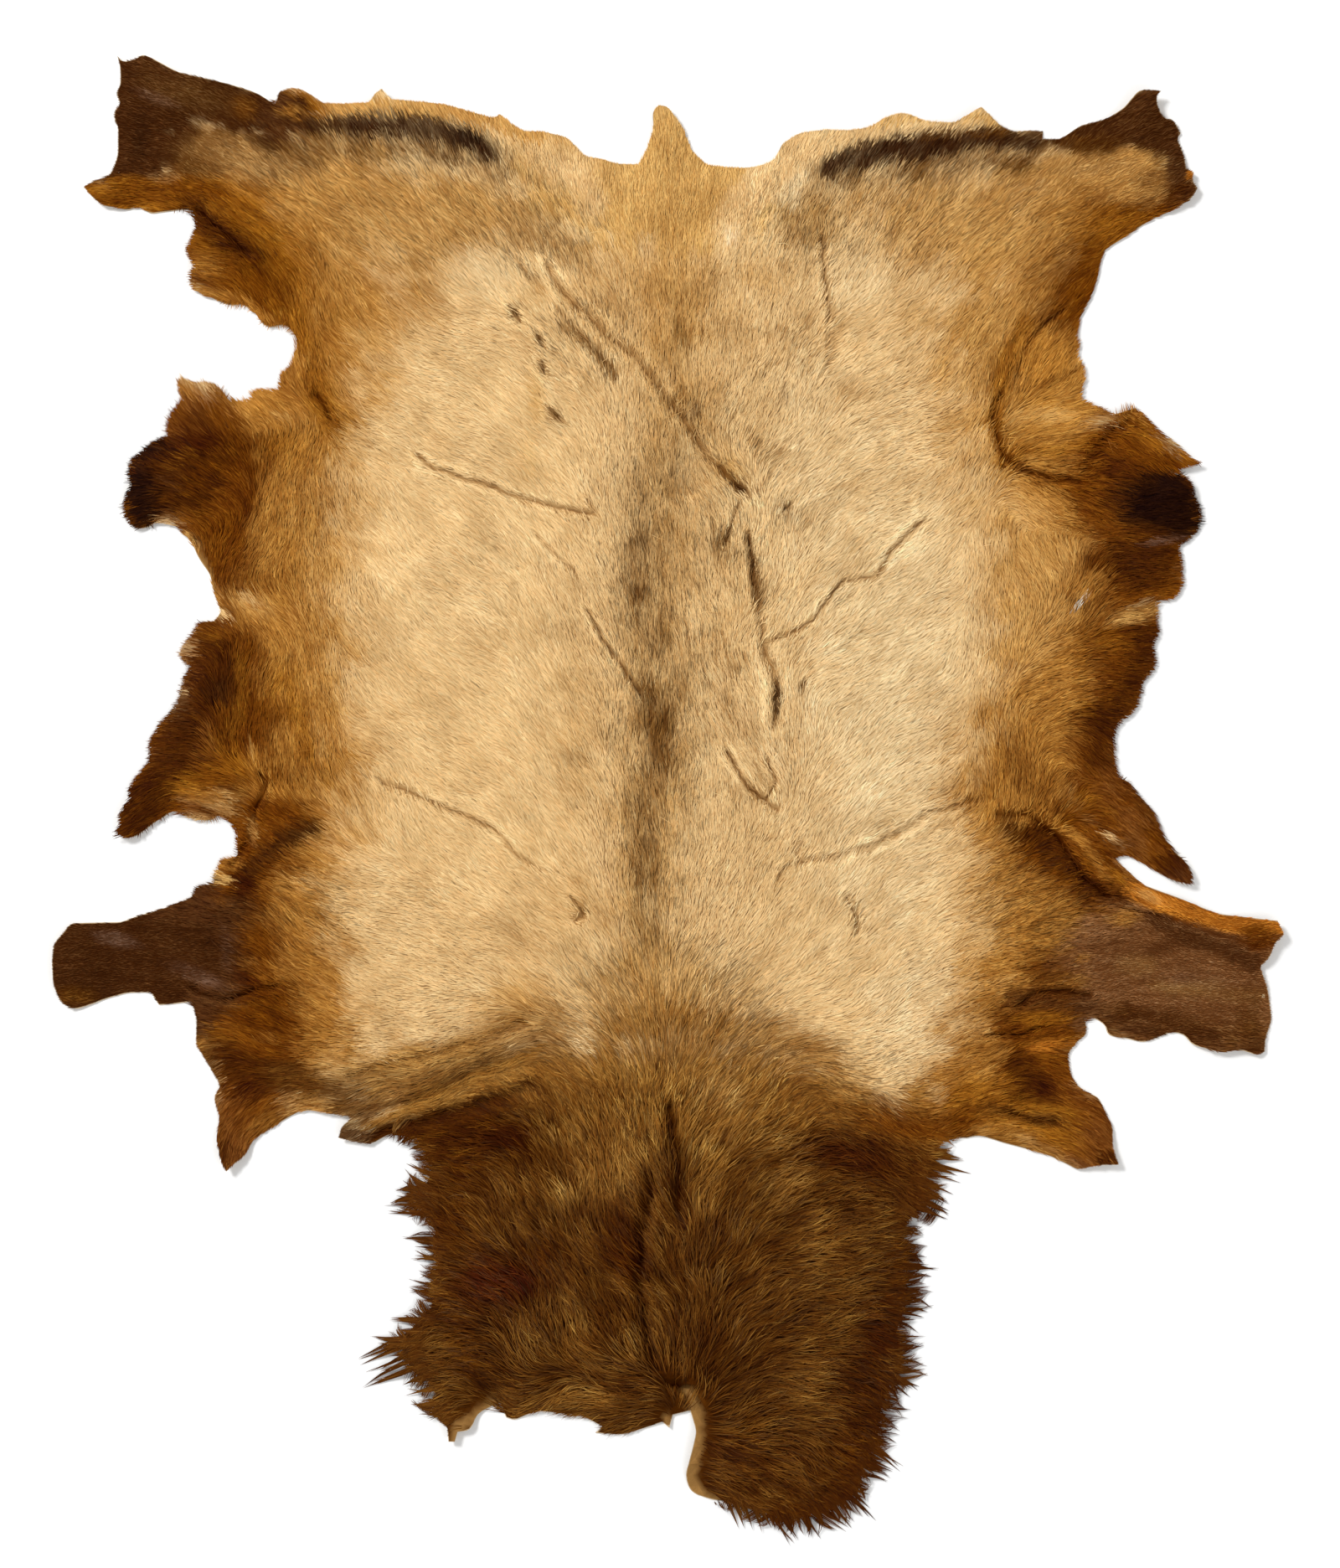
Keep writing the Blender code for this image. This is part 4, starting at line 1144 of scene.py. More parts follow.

# %% [markdown]
# The parts are the same as on the left, but no hide has two like sides. The lobe is blacker here,
# the foreleg has an orange edge, and a small scar shows white.

# %% The right side
# painted sheen along the middle of the foreleg: the grey brown band and the next grey tan patch
# painted sheen on the lobe
RIGHT_SIDE = painted("""
deep rust 1385 565 72 52 0 1 0.4
umber 60 1 0.3 1330,1195 1420,1215 1520,1245
# groin
deep rust 22 0.75 0.8 1308,345 1272,368 1240,390 1218,420
rust 22 0.85 1222,385 1202,430 1188,480 1192,525 1206,550
amber 1248 428 50 50 0 0.9 0.8
deep rust 8 0.5 1240,470 1262,452 1286,440
amber 1264 494 64 26 0 0.9 0.8
honey 1256 496 46 16 0 0.75
rust 12 0.6 0.8 1210,535 1262,540 1310,520
deep rust 12 0.8 0.8 1208,552 1240,570 1292,582
# curls and lobes
deep rust 1345 538 66 34 -25 0.95 0.6
red dark 1340 556 50 20 -15 0.8
rust 1372 524 44 16 -38 0.8 0.7
tawny 1344 498 32 9 10 0.6 0.8
rust 1410 543 24 12 -38 0.7 0.8
bark 1352 596 48 40 0 0.85 0.8
deep rust 1308 662 34 34 0 0.85
deep rust 1360 552 24 24 0 0.8
caramel 1215 496 22 20 0 0.9
deep rust 1304 1034 20 28 0 0.85
near black 1386 602 62 48 0 0.97 0.5
near black 15 0.9 0.8 1372,568 1404,574 1420,594 1424,624 1412,640
bark 1366 668 62 46 0 0.92 0.6
leg sheen 1384 646 32 7 14 0.45
tan 1358 732 46 17 14 0.95
straw 1364 720 22 6 28 0.5
# belly edge
bark 34 0.92 0.8 1376,765 1360,815 1322,866 1314,905
rust 1322 762 22 26 0 0.5
bark 1310 862 34 40 0 0.8
rust 8 0.45 1290,760 1288,810 1296,850
white hair 3 0.95 0.6 1283,724 1290,717 1296,713
bark 6 0.6 0.8 1276,712 1286,722 1300,724
# elbow and armpit
deep rust 26 0.5 1205,880 1222,910 1228,945
tawny 1262 905 16 44 10 0.55
rust 1300 955 34 14 -20 0.6
bark 16 0.7 0.8 1330,905 1366,955 1396,1000 1420,1040
bark 1402 1036 26 22 -40 0.9 0.6
bark 22 0.9 1205,990 1240,1002 1270,1026 1304,1060 1345,1078
tawny 1240 974 34 14 0 0.85
tawny 9 0.8 0.7 1262,985 1296,1008 1320,1046
rust 1335 1045 26 12 -20 0.8 0.7
cream 1322 997 7 6 0 0.95 0.4
# foreleg
dusk 1285 1110 60 70 0 0.4
tawny 1184 1152 40 30 0 0.75
plum brown 112 1 0.3 1372,1162 1440,1165 1560,1180
plum brown 1320 1120 60 44 0 0.6
tawny 1342 1094 30 16 10 0.7
umber 1340 1212 46 26 0 0.85
umber 26 0.6 0.9 0.15 1380,1226 1440,1232 1510,1244
grey brown 16 0.5 0.9 0.3 1380,1176 1430,1180 1500,1190
grey tan 1432 1178 54 14 8 0.4 0.9 0.4
grey tan 1360 1152 40 20 0 0.5 0.9 0.3
bark 20 0.6 0.9 0.1 1345,1205 1400,1222 1440,1238
umber 1490 1225 30 40 0 0.7 0.9 0.1
bark 1400 1128 70 14 14 0.5 0.9 0.2
rust 1475 1086 44 8 16 0.6
leg brown 16 0.75 0.8 1380,1098 1400,1110 1450,1130 1500,1150
leg sheen 1430 1172 70 16 -4 0.3 0.9 0.5
orange 17 0.97 0.5 1356,1064 1395,1078 1450,1098 1525,1104
honey 1372 1070 26 9 -22 0.4 0.8
deep rust 1506 1118 30 22 0 0.9 0.6
leg brown 26 0.7 1215,1192 1290,1200 1350,1226 1430,1246 1520,1254
dusk 1270 1172 60 22 0 0.5
# shoulder flap
rust 1244 1216 44 14 0 0.8 0.8
orange 1252 1248 40 11 4 0.8 0.7
bark 22 0.92 0.7 1214,1268 1236,1300 1258,1330
red dark 1246 1304 24 26 0 0.95 0.8
umber 1246 1334 30 14 0 0.8
deep rust 1290 1330 30 24 0 0.6
bark 1322 1384 18 12 0 0.95 0.5
rust 46 0.9 0.8 1090,1340 1165,1312 1225,1326 1262,1356
bark 1226 1302 44 22 20 0.8
umber 14 0.75 0.8 1180,1322 1235,1334 1264,1340
ochre 14 0.85 0.8 1160,1356 1210,1362 1262,1384""")
print(len(RIGHT_SIDE), "patches and bands")

# %% [markdown]
# The neck turns from tan to umber where the long hair starts. In the mane, dark pools and golden
# locks lie side by side, with a painted shadow left of the mane's ridge, and the fold left of the
# neck has a painted highlight along its edge and a painted shadow beneath it.

# %% The neck and the mane
# painted light on the fold: the ochre and tan bands are a painted highlight along its edge, the bark band
# a painted shadow beneath it
# painted shadow left of the mane's ridge
# painted shadow left of the mane's ridge
NECK = painted("""
umber 110 1 0.2 870,1640 890,1740 960,1800
# the cape in front of the mane, from the back down
tan 790 1190 190 90 0 0.8 0.9 0.2
nape 60 1 0.6 520,1340 650,1312 760,1302 860,1302 960,1330 1070,1368
umber 190 1 0.2 500,1520 780,1510 1080,1520
tan 610 1196 70 44 10 0.9 0.9 0.1
ochre 768 1222 110 40 0 0.8 0.9 0.1
ochre 46 0.9 0.9 0.05 800,1228 870,1230 930,1240 985,1262
ochre 60 0.95 0.6 0.08 480,1300 560,1290 650,1290 760,1286 850,1286 930,1300 990,1326
umber 66 1 0.5 0.05 480,1380 560,1370 650,1362 760,1362 850,1366 950,1376 1040,1398 1110,1398
umber 205 1 0.25 480,1540 780,1540 1080,1530
umber 150 1 0.3 470,1620 560,1640 760,1640 940,1640 960,1760
nape 54 0.9 0.8 0.06 640,1290 700,1320 780,1326 850,1330 930,1316 1000,1330 1060,1350 1110,1356
ochre 40 0.85 0.9 0.1 660,1225 590,1244 520,1266 450,1280
olive 612 1214 50 22 25 0.65 0.9 0.2
tan 1020 1290 40 30 20 0.6
ochre 1095 1306 30 22 0 0.9
deep rust 30 0.9 1030,1346 1090,1352 1150,1340
umber 24 0.8 1010,1350 1060,1368 1110,1380
# the fold left of the neck
umber 30 0.9 0.8 340,1286 380,1290 440,1326
ochre 412 1274 24 16 0 0.85
grey brown 20 0.7 0.9 0.15 410,1288 460,1286 520,1276 600,1258 670,1248
umber 9 0.6 0.8 650,1252 590,1270 520,1298 450,1322
tan 22 0.6 470,1268 520,1262 560,1250
ochre 11 0.95 0.8 440,1344 480,1328 520,1310 590,1278 650,1248
bark 28 0.92 0.8 400,1352 450,1362 520,1346 590,1320 640,1304
# gold and brown locks in the middle, from the cape down
nape 690 1340 74 60 0 0.8 0.9 0.1
ochre 722 1382 56 64 0 0.7 0.9 0.2
ochre 700 1412 60 36 0 0.5 0.9 0.2
ochre 866 1310 60 60 -30 0.8 0.9 0.1
tan 858 1300 44 34 0 0.6 0.9 0.1
ochre 880 1350 90 44 -12 0.6 0.9 0.2
nape 850 1400 44 70 -12 0.75 0.9 0.2
ochre 945 1412 36 44 -15 0.7 0.9 0.2
nape 975 1460 40 50 5 0.6 0.9 0.2
nape 906 1500 44 50 5 0.5 0.9 0.25
# dark pools
bark 575 1362 110 56 16 0.95 0.7
red dark 606 1356 46 26 10 0.7
bark 40 0.8 560,1400 540,1440 560,1500 540,1560 560,1620
red dark 606 1520 84 60 0 1 0.8
bark 660 1490 90 40 0 0.6 0.9 0.1
red dark 746 1488 38 60 10 0.95
bark 742 1560 30 50 0 0.5
bark 1040 1386 120 56 -8 0.92
red dark 1012 1376 80 38 -8 0.75 0.9 0.1
bark 52 0.95 0.9 0.05 1115,1430 1082,1530 1050,1600 1040,1640 1030,1720 990,1800 930,1815
red dark 1044 1596 34 70 0 0.6
bark 895 1715 50 70 0 0.7
bark 44 0.6 0.9 0.15 505,1400 520,1500 470,1600 480,1650
bark 835 1600 60 90 0 0.45 0.9 0.1
bark 600 1640 50 26 0 0.65
bark 752 1650 40 26 0 0.6
nape 694 1600 44 34 0 0.55 0.9 0.2
nape 960 1640 26 60 5 0.4 0.9 0.3
nape 20 0.75 0.9 0.15 720,1668 680,1664 622,1686
nape 828 1668 24 16 0 0.8
bark 920 1745 70 56 0 0.5
red dark 1246 1304 28 24 0 0.8
umber 1246 1338 34 14 0 0.8
bark 738 1486 44 66 8 0.7
nape 630 1410 76 32 0 0.4 0.9 0.2
nape 995 1500 40 56 0 0.35 0.9 0.2
nape 630 1306 46 16 -12 0.8""")
print(len(NECK), "patches and bands")

# %% [markdown]
# Now the patches are laid down in order. No patch on a coat has an even border, so clouds shift it
# in and out. The result is one colour for any place, which hairs and wool both read.

# %% Lay the colours
PAINT = BACK + FLANKS + REAR + LEFT_SIDE + RIGHT_SIDE + NECK
GROUND = "straw"


def wobble_at(x, y):
    """Shifts a patch's border in and out, coarsely and finely."""
    return (cloud(x, y, 0.030, 0) - 0.5) * 0.36 + (cloud(x, y, 0.009, 1) - 0.5) * 0.24


def broken_at(x, y):
    """Islands and gaps, from 0 to 1, for colours that lie unevenly."""
    islands = cloud(x, y, 0.026, 2) * 0.5 + cloud(x, y, 0.010, 3) * 0.35 + cloud(x, y, 0.005, 4) * 0.15
    return smooth((islands - 0.36) / 0.26)


def reach_of(patch, x, y):
    """The places that a patch may touch, and how far out in it each one lies: 1 at its border."""
    if isinstance(patch, Band):
        width = patch.half_width * SQUARE
        near = near_path(x, y, patch.path, 1.3 * width)
        return near, gap_to_path(x[near], y[near], patch.path) / width
    centre_x, centre_y = on_plan(patch.column, patch.row)
    across, along = patch.across * SQUARE, patch.along * SQUARE
    reach = 1.3 * max(across, along)
    near = np.flatnonzero((np.abs(x - centre_x) < reach) & (np.abs(y - centre_y) < reach))
    turn = math.radians(patch.turn)
    dx, dy = x[near] - centre_x, y[near] - centre_y
    u = (dx * math.cos(turn) + dy * math.sin(turn)) / across
    v = (dy * math.cos(turn) - dx * math.sin(turn)) / along
    return near, np.hypot(u, v)


def coat_colour(x, y):
    """The coat's colour at each place, before any hair's own chance."""
    tone = np.repeat(colours[GROUND][None], len(x), 0)
    wobble, islands = wobble_at(x, y), broken_at(x, y)
    for patch in PAINT:
        near, out = reach_of(patch, x, y)
        weight = patch.strength * smooth((1 - out + wobble[near]) / patch.edge)
        weight *= 1 - patch.broken * (1 - islands[near])
        tone[near] += (colours[patch.colour] - tone[near]) * weight[:, None]
    mottle = (cloud(x, y, 0.045, 2) - 0.5) * 0.16 + (cloud(x, y, 0.017, 3) - 0.5) * 0.16
    return dim(tone, 1 + mottle)


print(len(PAINT), "patches and bands of colour")

# %% [markdown]
# Three more short tables say what else changes over the hide: how long the hair is, where dark
# hairs are mixed into the pale ones, and where the skin is bare.

# %% Hair length, dark hairs and bare skin
BODY_LENGTH = 0.018
# column, row, across, along, length in mm
LENGTHS = [Spot(*row) for row in groups("""
    790,800,90,560,21 790,1240,260,110,30 800,1560,400,310,62 600,1400,170,80,48 1010,1400,160,80,46
    800,210,260,90,13 200,140,170,110,9 1340,190,160,90,10 160,1150,170,80,8 1420,1160,170,110,8
    190,570,90,80,24 250,490,80,50,26 290,310,90,70,22 230,860,110,160,22 1370,600,90,70,24
    1350,520,90,50,28 1340,800,70,110,20 1250,510,80,50,26 290,1250,90,110,22 1260,1290,90,100,22
    1350,980,90,90,18 500,1300,180,50,26""")]
DARK_SHARE = 0.010
# column, row, across, along, share of dark hairs
DARK_HAIRS = [Spot(*row) for row in groups("""
    785,800,80,420,0.28 440,230,260,110,0.2 1140,230,280,110,0.18 640,270,110,70,0.28
    960,260,90,70,0.26 700,400,80,70,0.16 860,600,90,140,0.16 790,1200,180,100,0.4 790,1300,260,90,0.42
    370,1090,70,70,0.22 1230,1080,90,80,0.28 320,180,90,50,0.32 480,175,130,40,0.36
    1100,190,150,40,0.34 800,1560,420,300,0.36 560,1290,160,50,0.3 800,215,130,70,0.03
    1000,1300,120,70,0.3""")]
BARE = tuple((half_width, groups(path)) for half_width, path in (
    # half width, path
    (7.5, "822,1662 832,1690 831,1725 826,1745 823,1768 834,1784 856,1797"),
    (6, "543,1718 549,1702 568,1692 588,1676 600,1666"),
    (3, "795,1690 800,1706"),
    (5, "255,738 268,730"),
    (3, "234,642 240,664 250,690"),
    (3, "1374,718 1386,720"),
    (3, "1326,893 1329,905"),))


def bare_at(x, y):
    """How bare the skin is: 1 on a cut edge or scar, 0 in the coat."""
    bare = np.zeros(x.shape)
    for half_width, path in BARE:
        near = near_path(x, y, path, 2 * half_width * SQUARE)
        gap = gap_to_path(x[near], y[near], path) / (half_width * SQUARE)
        bare[near] = np.maximum(bare[near], smooth((1.25 - gap) * 2.5))
    return bare


length_field = value_at(grid_x, grid_y, BODY_LENGTH, LENGTHS, MILLIMETRE)
dark_field = value_at(grid_x, grid_y, DARK_SHARE, DARK_HAIRS, 1)
bare_field = bare_at(grid_x.ravel(), grid_y.ravel()).reshape(grid_x.shape)
print("hair from", round(float(length_field.min()), 4), "to", round(float(length_field.max()), 4), "m")

# %% [markdown]
# The leather is one thin sheet. A flat sheet is cut to the rim, filled with triangles, and its
# corners are set on the solid's underside, so the curled edges of the legs lift off the floor as
# they do on a real hide. The same function makes the underwool: a finer top, a coarse underside.

# %% A closed sheet between two heights
def even_places(pitch, margin):
    """A triangular lattice of places at least a margin inside the rim."""
    rows = np.arange(LOW_Y, LOW_Y + ROWS * PITCH, pitch * math.sin(math.radians(60)))
    places = []
    for index, y in enumerate(rows):
        x = np.arange(LOW_X + pitch / 2 * (index % 2), LOW_X + COLUMNS * PITCH, pitch)
        inside = read(coat_gap, x, np.full(x.shape, y)) > margin
        places += [(place, y) for place in x[inside]]
    return places


def fill(loop, inner):
    """Triangles between a closed loop and inner places."""
    places = [Vector(place) for place in loop] + [Vector(place) for place in inner]
    edges = [(index, (index + 1) % len(loop)) for index in range(len(loop))]
    flat, _, faces, sources, _, _ = delaunay_2d_cdt(places, edges, [], 1, 1e-6)
    return np.array([tuple(place) for place in flat]), np.array(faces), sources


def closed_sheet(name, loop, top_pitch, low_pitch, low_at, high_at, extra=()):
    """A closed mesh with a top and an underside of their own fineness, joined round the rim."""
    vertices, faces, rings = [], [], []
    for pitch, height_at, upward in ((top_pitch, high_at, True), (low_pitch, low_at, False)):
        inner = even_places(pitch, pitch * 0.6) + (list(extra) if upward else [])
        flat, triangles, sources = fill(loop, inner)
        heights = height_at(flat[:, 0], flat[:, 1])
        base = len(vertices)
        vertices += np.column_stack((flat, heights)).tolist()
        wound = triangles if upward else triangles[:, ::-1]
        faces += (wound + base).tolist()
        found = {source: index for index, group in enumerate(sources) for source in group}
        rings.append([base + found[index] for index in range(len(loop))])
    upper, lower = rings
    for index in range(len(loop)):
        after = (index + 1) % len(loop)
        faces.append((lower[index], lower[after], upper[after], upper[index]))
    mesh = bpy.data.meshes.new(name)
    mesh.from_pydata(vertices, [], faces)
    mesh.update()
    piece = bpy.data.objects.new(name, mesh)
    scene.collection.objects.link(piece)
    print(name, len(mesh.vertices), "vertices,", sum(len(f.vertices) - 2 for f in mesh.polygons),
          "triangles")
    return piece


def under_at(x, y):
    return read(under, x, y)


def skin_top_at(x, y):
    return read(under, x, y) + SKIN


def inset(loop, distance, reach=1):
    """A loop moved inward, by one distance or by one for each of its places."""
    step = np.roll(loop, -reach, 0) - np.roll(loop, reach, 0)
    step /= np.linalg.norm(step, axis=1)[:, None] + 1e-9
    return loop + np.column_stack((-step[:, 1], step[:, 0])) * np.reshape(distance, (-1, 1))


LEATHER_PITCH = 0.026

leather_rim = inset(skin_rim[:, :2], set_back, 3)
skin = closed_sheet("leather", leather_rim, LEATHER_PITCH, LEATHER_PITCH, under_at, skin_top_at)

# %% [markdown]
# The underwool is the dense short wool between the skin and the guard hairs. It fills the coat, so
# the hairs stand on it rather than on bare leather, and it is what shows, dark, where hairs part.
# Its top follows the solid's top a little lower, with a furrow along each crease.

# %% Underwool
WOOL_DEPTH_SHARE = 0.20
WOOL_RIM_INSET = 0.0012
WOOL_TUFT = 0.012
WOOL_PITCH, WOOL_LOW_PITCH = 0.0095, 0.04
CREASE_SIDE, CREASE_STEP, CREASE_RIM_GAP = 0.0028, 0.005, 0.006


def wool_depth_at(x, y):
    """How far the underwool lies below the coat's surface."""
    return np.clip(read(pile, x, y) * WOOL_DEPTH_SHARE, 0.0012, 0.010)


def wool_top_at(x, y):
    rough = (cloud(x, y, WOOL_TUFT, 4) - 0.5) * wool_depth_at(x, y) * 0.6
    height = coat_top_at(x, y) - wool_depth_at(x, y) + rough
    bare = read(bare_field, x, y)
    height = height * (1 - bare) + (read(under, x, y) + SKIN + 0.0008) * bare
    return np.maximum(height, read(under, x, y) + SKIN + 0.0004)


def wool_low_at(x, y):
    return read(under, x, y) + SKIN * 0.6


def crease_places():
    """Places along each crease and on both sides of it, so that its furrow is crisp."""
    places = []
    for crease in CREASES:
        points = in_metres(crease.path)
        for start, end in zip(points, points[1:]):
            step = end - start
            side = np.array((-step[1], step[0])) / np.linalg.norm(step)
            for share in np.arange(0, 1, CREASE_STEP / np.linalg.norm(step)):
                for shift in (-CREASE_SIDE, 0, CREASE_SIDE):
                    places.append(tuple(start + step * share + side * shift))
    x, y = np.array(places).T
    return [place for place, gap in zip(places, read(rim_gap, x, y)) if gap > CREASE_RIM_GAP]


wool_rim = inset(leather_rim[::2], WOOL_RIM_INSET)
wool = closed_sheet("underwool", wool_rim, WOOL_PITCH, WOOL_LOW_PITCH, wool_low_at, wool_top_at,
                    crease_places())

# %% [markdown]
# Each hair of the short coat stands for a small tuft of real ones, as wide as the eye can part from
# a step away. It is a leaf of two triangles: a root hidden in the underwool, two corners at its
# middle, and a tip. Leaves are cheap, so hundreds of thousands can be grown, each with its own
# length, lean and colour. Their roots lie on a jittered grid, which leaves no holes.

# %% Where hairs grow
COAT_PITCH = 0.00248
LONG_HAIR = 0.036
CREASE_STOP = 0.0012


def scattered(pitch, seed):
    """Jittered places over the hide, and a chance generator for what follows."""
    chance = np.random.default_rng(seed)
    x, y = np.meshgrid(np.arange(LOW_X, LOW_X + COLUMNS * PITCH, pitch),
                       np.arange(LOW_Y, LOW_Y + ROWS * PITCH, pitch))
    x, y = x.ravel(), y.ravel()
    x = x + chance.uniform(0, pitch, x.shape)
    y = y + chance.uniform(0, pitch, y.shape)
    kept = (read(coat_gap, x, y) > 0.0008) & (read(bare_field, x, y) < chance.random(x.shape) * 0.6 + 0.2)
    return x[kept], y[kept], chance


def stop_at_creases(x, y, angle, length, chance):
    """Shortens each hair that would cross a crease, so that it ends just before it, and drops
    those that grow in it. A dropped hair has no length."""
    reach_x, reach_y = np.cos(angle) * length, np.sin(angle) * length
    share = np.ones(x.shape)
    for crease in CREASES:
        near = near_path(x, y, crease.path, 0.04)
        places = in_metres(crease.path)
        for start, end in zip(places, places[1:]):
            step = end - start
            cross = reach_x[near] * step[1] - reach_y[near] * step[0]
            cross = np.where(np.abs(cross) < 1e-12, 1e-12, cross)
            from_x, from_y = start[0] - x[near], start[1] - y[near]
            along_hair = (from_x * step[1] - from_y * step[0]) / cross
            along_crease = (from_x * reach_y[near] - from_y * reach_x[near]) / cross
            hit = (along_hair > 0) & (along_hair < 1) & (along_crease > 0) & (along_crease < 1)
            stop = along_hair - (CREASE_STOP + chance.uniform(-0.001, 0.001, near.shape)) / length[near]
            hit &= chance.random(near.shape) < crease.dark
            share[near] = np.where(hit, np.minimum(share[near], stop), share[near])
        crease_gap = gap_to_path(x[near], y[near], crease.path)
        grows_in = crease_gap < CREASE_STOP * (0.6 + chance.random(near.shape))
        share[near[grows_in]] = 0
    return length * np.clip(share, 0, 1)


def stop_at_rim(x, y, angle, length, ragged=0):
    """Shortens each hair whose tip would pass the rim by more than the coat does there.

    Ragged tips may reach on as far as the skin was set back.
    """
    for _ in range(3):
        tip_gap = read(coat_gap, x + np.cos(angle) * length, y + np.sin(angle) * length)
        allowed = -read(overhang, x, y) - ragged * read(skin_step, x, y)
        root_gap = read(coat_gap, x, y)
        over = tip_gap < allowed
        share = (root_gap - allowed) / np.maximum(root_gap - tip_gap, 1e-6)
        length = np.where(over, length * np.clip(share, 0.1, 1), length)
    return length


print("coat pitch", COAT_PITCH)

# %% [markdown]
# Hairs made one by one would take minutes, so all of them are worked out at once as arrays, which
# the mesh takes whole. Each hair has a cell of its own in a square map, for baking its colour.

# %% Turn numbers into a mesh
def cells(count, tall):
    """Lower corners and size of equal cells that fill a square map, a cell for each hair."""
    columns = max(1, math.ceil(math.sqrt(count * tall)))
    rows = math.ceil(count / columns)
    index = np.arange(count)
    corner = np.column_stack((index % columns / columns, index // columns / rows))
    return corner, np.array((1 / columns, 1 / rows))


def set_tone(mesh, tone):
    """Gives each corner its own colour, which the finish reads."""
    layer = mesh.attributes.new("tone", "FLOAT_COLOR", "POINT")
    values = np.column_stack((tone, np.ones(len(tone)))).astype(np.float32)
    layer.data.foreach_set("color", values.ravel())


def build_mesh(name, vertices, faces, tone, along, maps):
    """A mesh from arrays. faces is a list of arrays, one for each number of corners."""
    mesh = bpy.data.meshes.new(name)
    mesh.vertices.add(len(vertices))
    mesh.vertices.foreach_set("co", vertices.astype(np.float32).ravel())
    corners = np.concatenate([group.ravel() for group in faces])
    sizes = np.concatenate([np.full(len(group), group.shape[1]) for group in faces])
    mesh.loops.add(len(corners))
    mesh.loops.foreach_set("vertex_index", corners.astype(np.int32))
    mesh.polygons.add(len(sizes))
    mesh.polygons.foreach_set("loop_start", (np.cumsum(sizes) - sizes).astype(np.int32))
    mesh.update(calc_edges=True)
    set_tone(mesh, tone)
    alongs = mesh.attributes.new("along", "FLOAT", "POINT")
    alongs.data.foreach_set("value", along.astype(np.float32))
    layer = mesh.uv_layers.new(name="OFBake")
    layer.uv.foreach_set("vector", maps[corners].astype(np.float32).ravel())
    piece = bpy.data.objects.new(name, mesh)
    scene.collection.objects.link(piece)
    triangles = int((sizes - 2).sum())
    print(name, len(sizes), "faces,", triangles, "triangles")
    return piece


LEAF_BELLY = 0.42
LEAF_CORNERS = np.array(((0, 0), (1, 0), (0, 1), (1, 1)))
LEAF_FACES = np.array(((0, 2, 1), (1, 2, 3)))


def leaf_mesh(name, hairs):
    """Leaves of two triangles: root, two corners at the belly, tip."""
    count = len(hairs["x"])
    dx, dy = np.cos(hairs["angle"]), np.sin(hairs["angle"])
    belly_x = hairs["x"] + dx * hairs["length"] * LEAF_BELLY + hairs["pull_x"] * LEAF_BELLY
    belly_y = hairs["y"] + dy * hairs["length"] * LEAF_BELLY + hairs["pull_y"] * LEAF_BELLY
    tip_x = hairs["x"] + dx * hairs["length"] + hairs["pull_x"]
    tip_y = hairs["y"] + dy * hairs["length"] + hairs["pull_y"]
    points = np.zeros((count, 4, 3))
    points[:, 0, 0], points[:, 0, 1] = hairs["x"], hairs["y"]
    points[:, 0, 2] = coat_top_at(hairs["x"], hairs["y"]) - hairs["depth"]
    side = hairs["width"] / 2
    flat, raised = np.cos(hairs["roll"]) * side, np.sin(hairs["roll"]) * side
    belly_z = coat_top_at(belly_x, belly_y) - 0.25 * hairs["depth"] + hairs["rise"] * 0.5
    for corner, sign in ((1, 1), (2, -1)):
        points[:, corner, 0] = belly_x - dy * flat * sign
        points[:, corner, 1] = belly_y + dx * flat * sign
        points[:, corner, 2] = belly_z + raised * sign
    points[:, 3, 0], points[:, 3, 1] = tip_x, tip_y
    points[:, 3, 2] = coat_top_at(tip_x, tip_y) + hairs["rise"]
    floor_z = read(under, points[:, :, 0], points[:, :, 1]) + 0.0004
    points[:, :, 2] = np.maximum(points[:, :, 2], floor_z)
    corner, size = cells(count, 1)
    maps = (corner[:, None] + LEAF_CORNERS[None] * size).reshape(-1, 2)
    faces = (np.arange(count)[:, None, None] * 4 + LEAF_FACES[None]).reshape(-1, 3)
    along = np.tile((0, LEAF_BELLY, LEAF_BELLY, 1), count)
    return build_mesh(name, points.reshape(-1, 3), [faces], np.repeat(hairs["tone"], 4, 0), along, maps)


print("a leaf has", len(LEAF_FACES), "triangles")

# %% [markdown]
# A hair's own colour starts from the coat's colour where the hair shows, near its middle. Then
# chance takes over: streaks make whole tufts lighter or darker, each hair differs a little from
# its neighbour, and some hairs are dark all along, thickly on the spine and hardly any elsewhere.

# %% Colour of single hairs
DARK_HAIR = linear(52, 30, 14)
STREAK_LENGTH, STREAK_WIDTH = 0.022, 0.0017


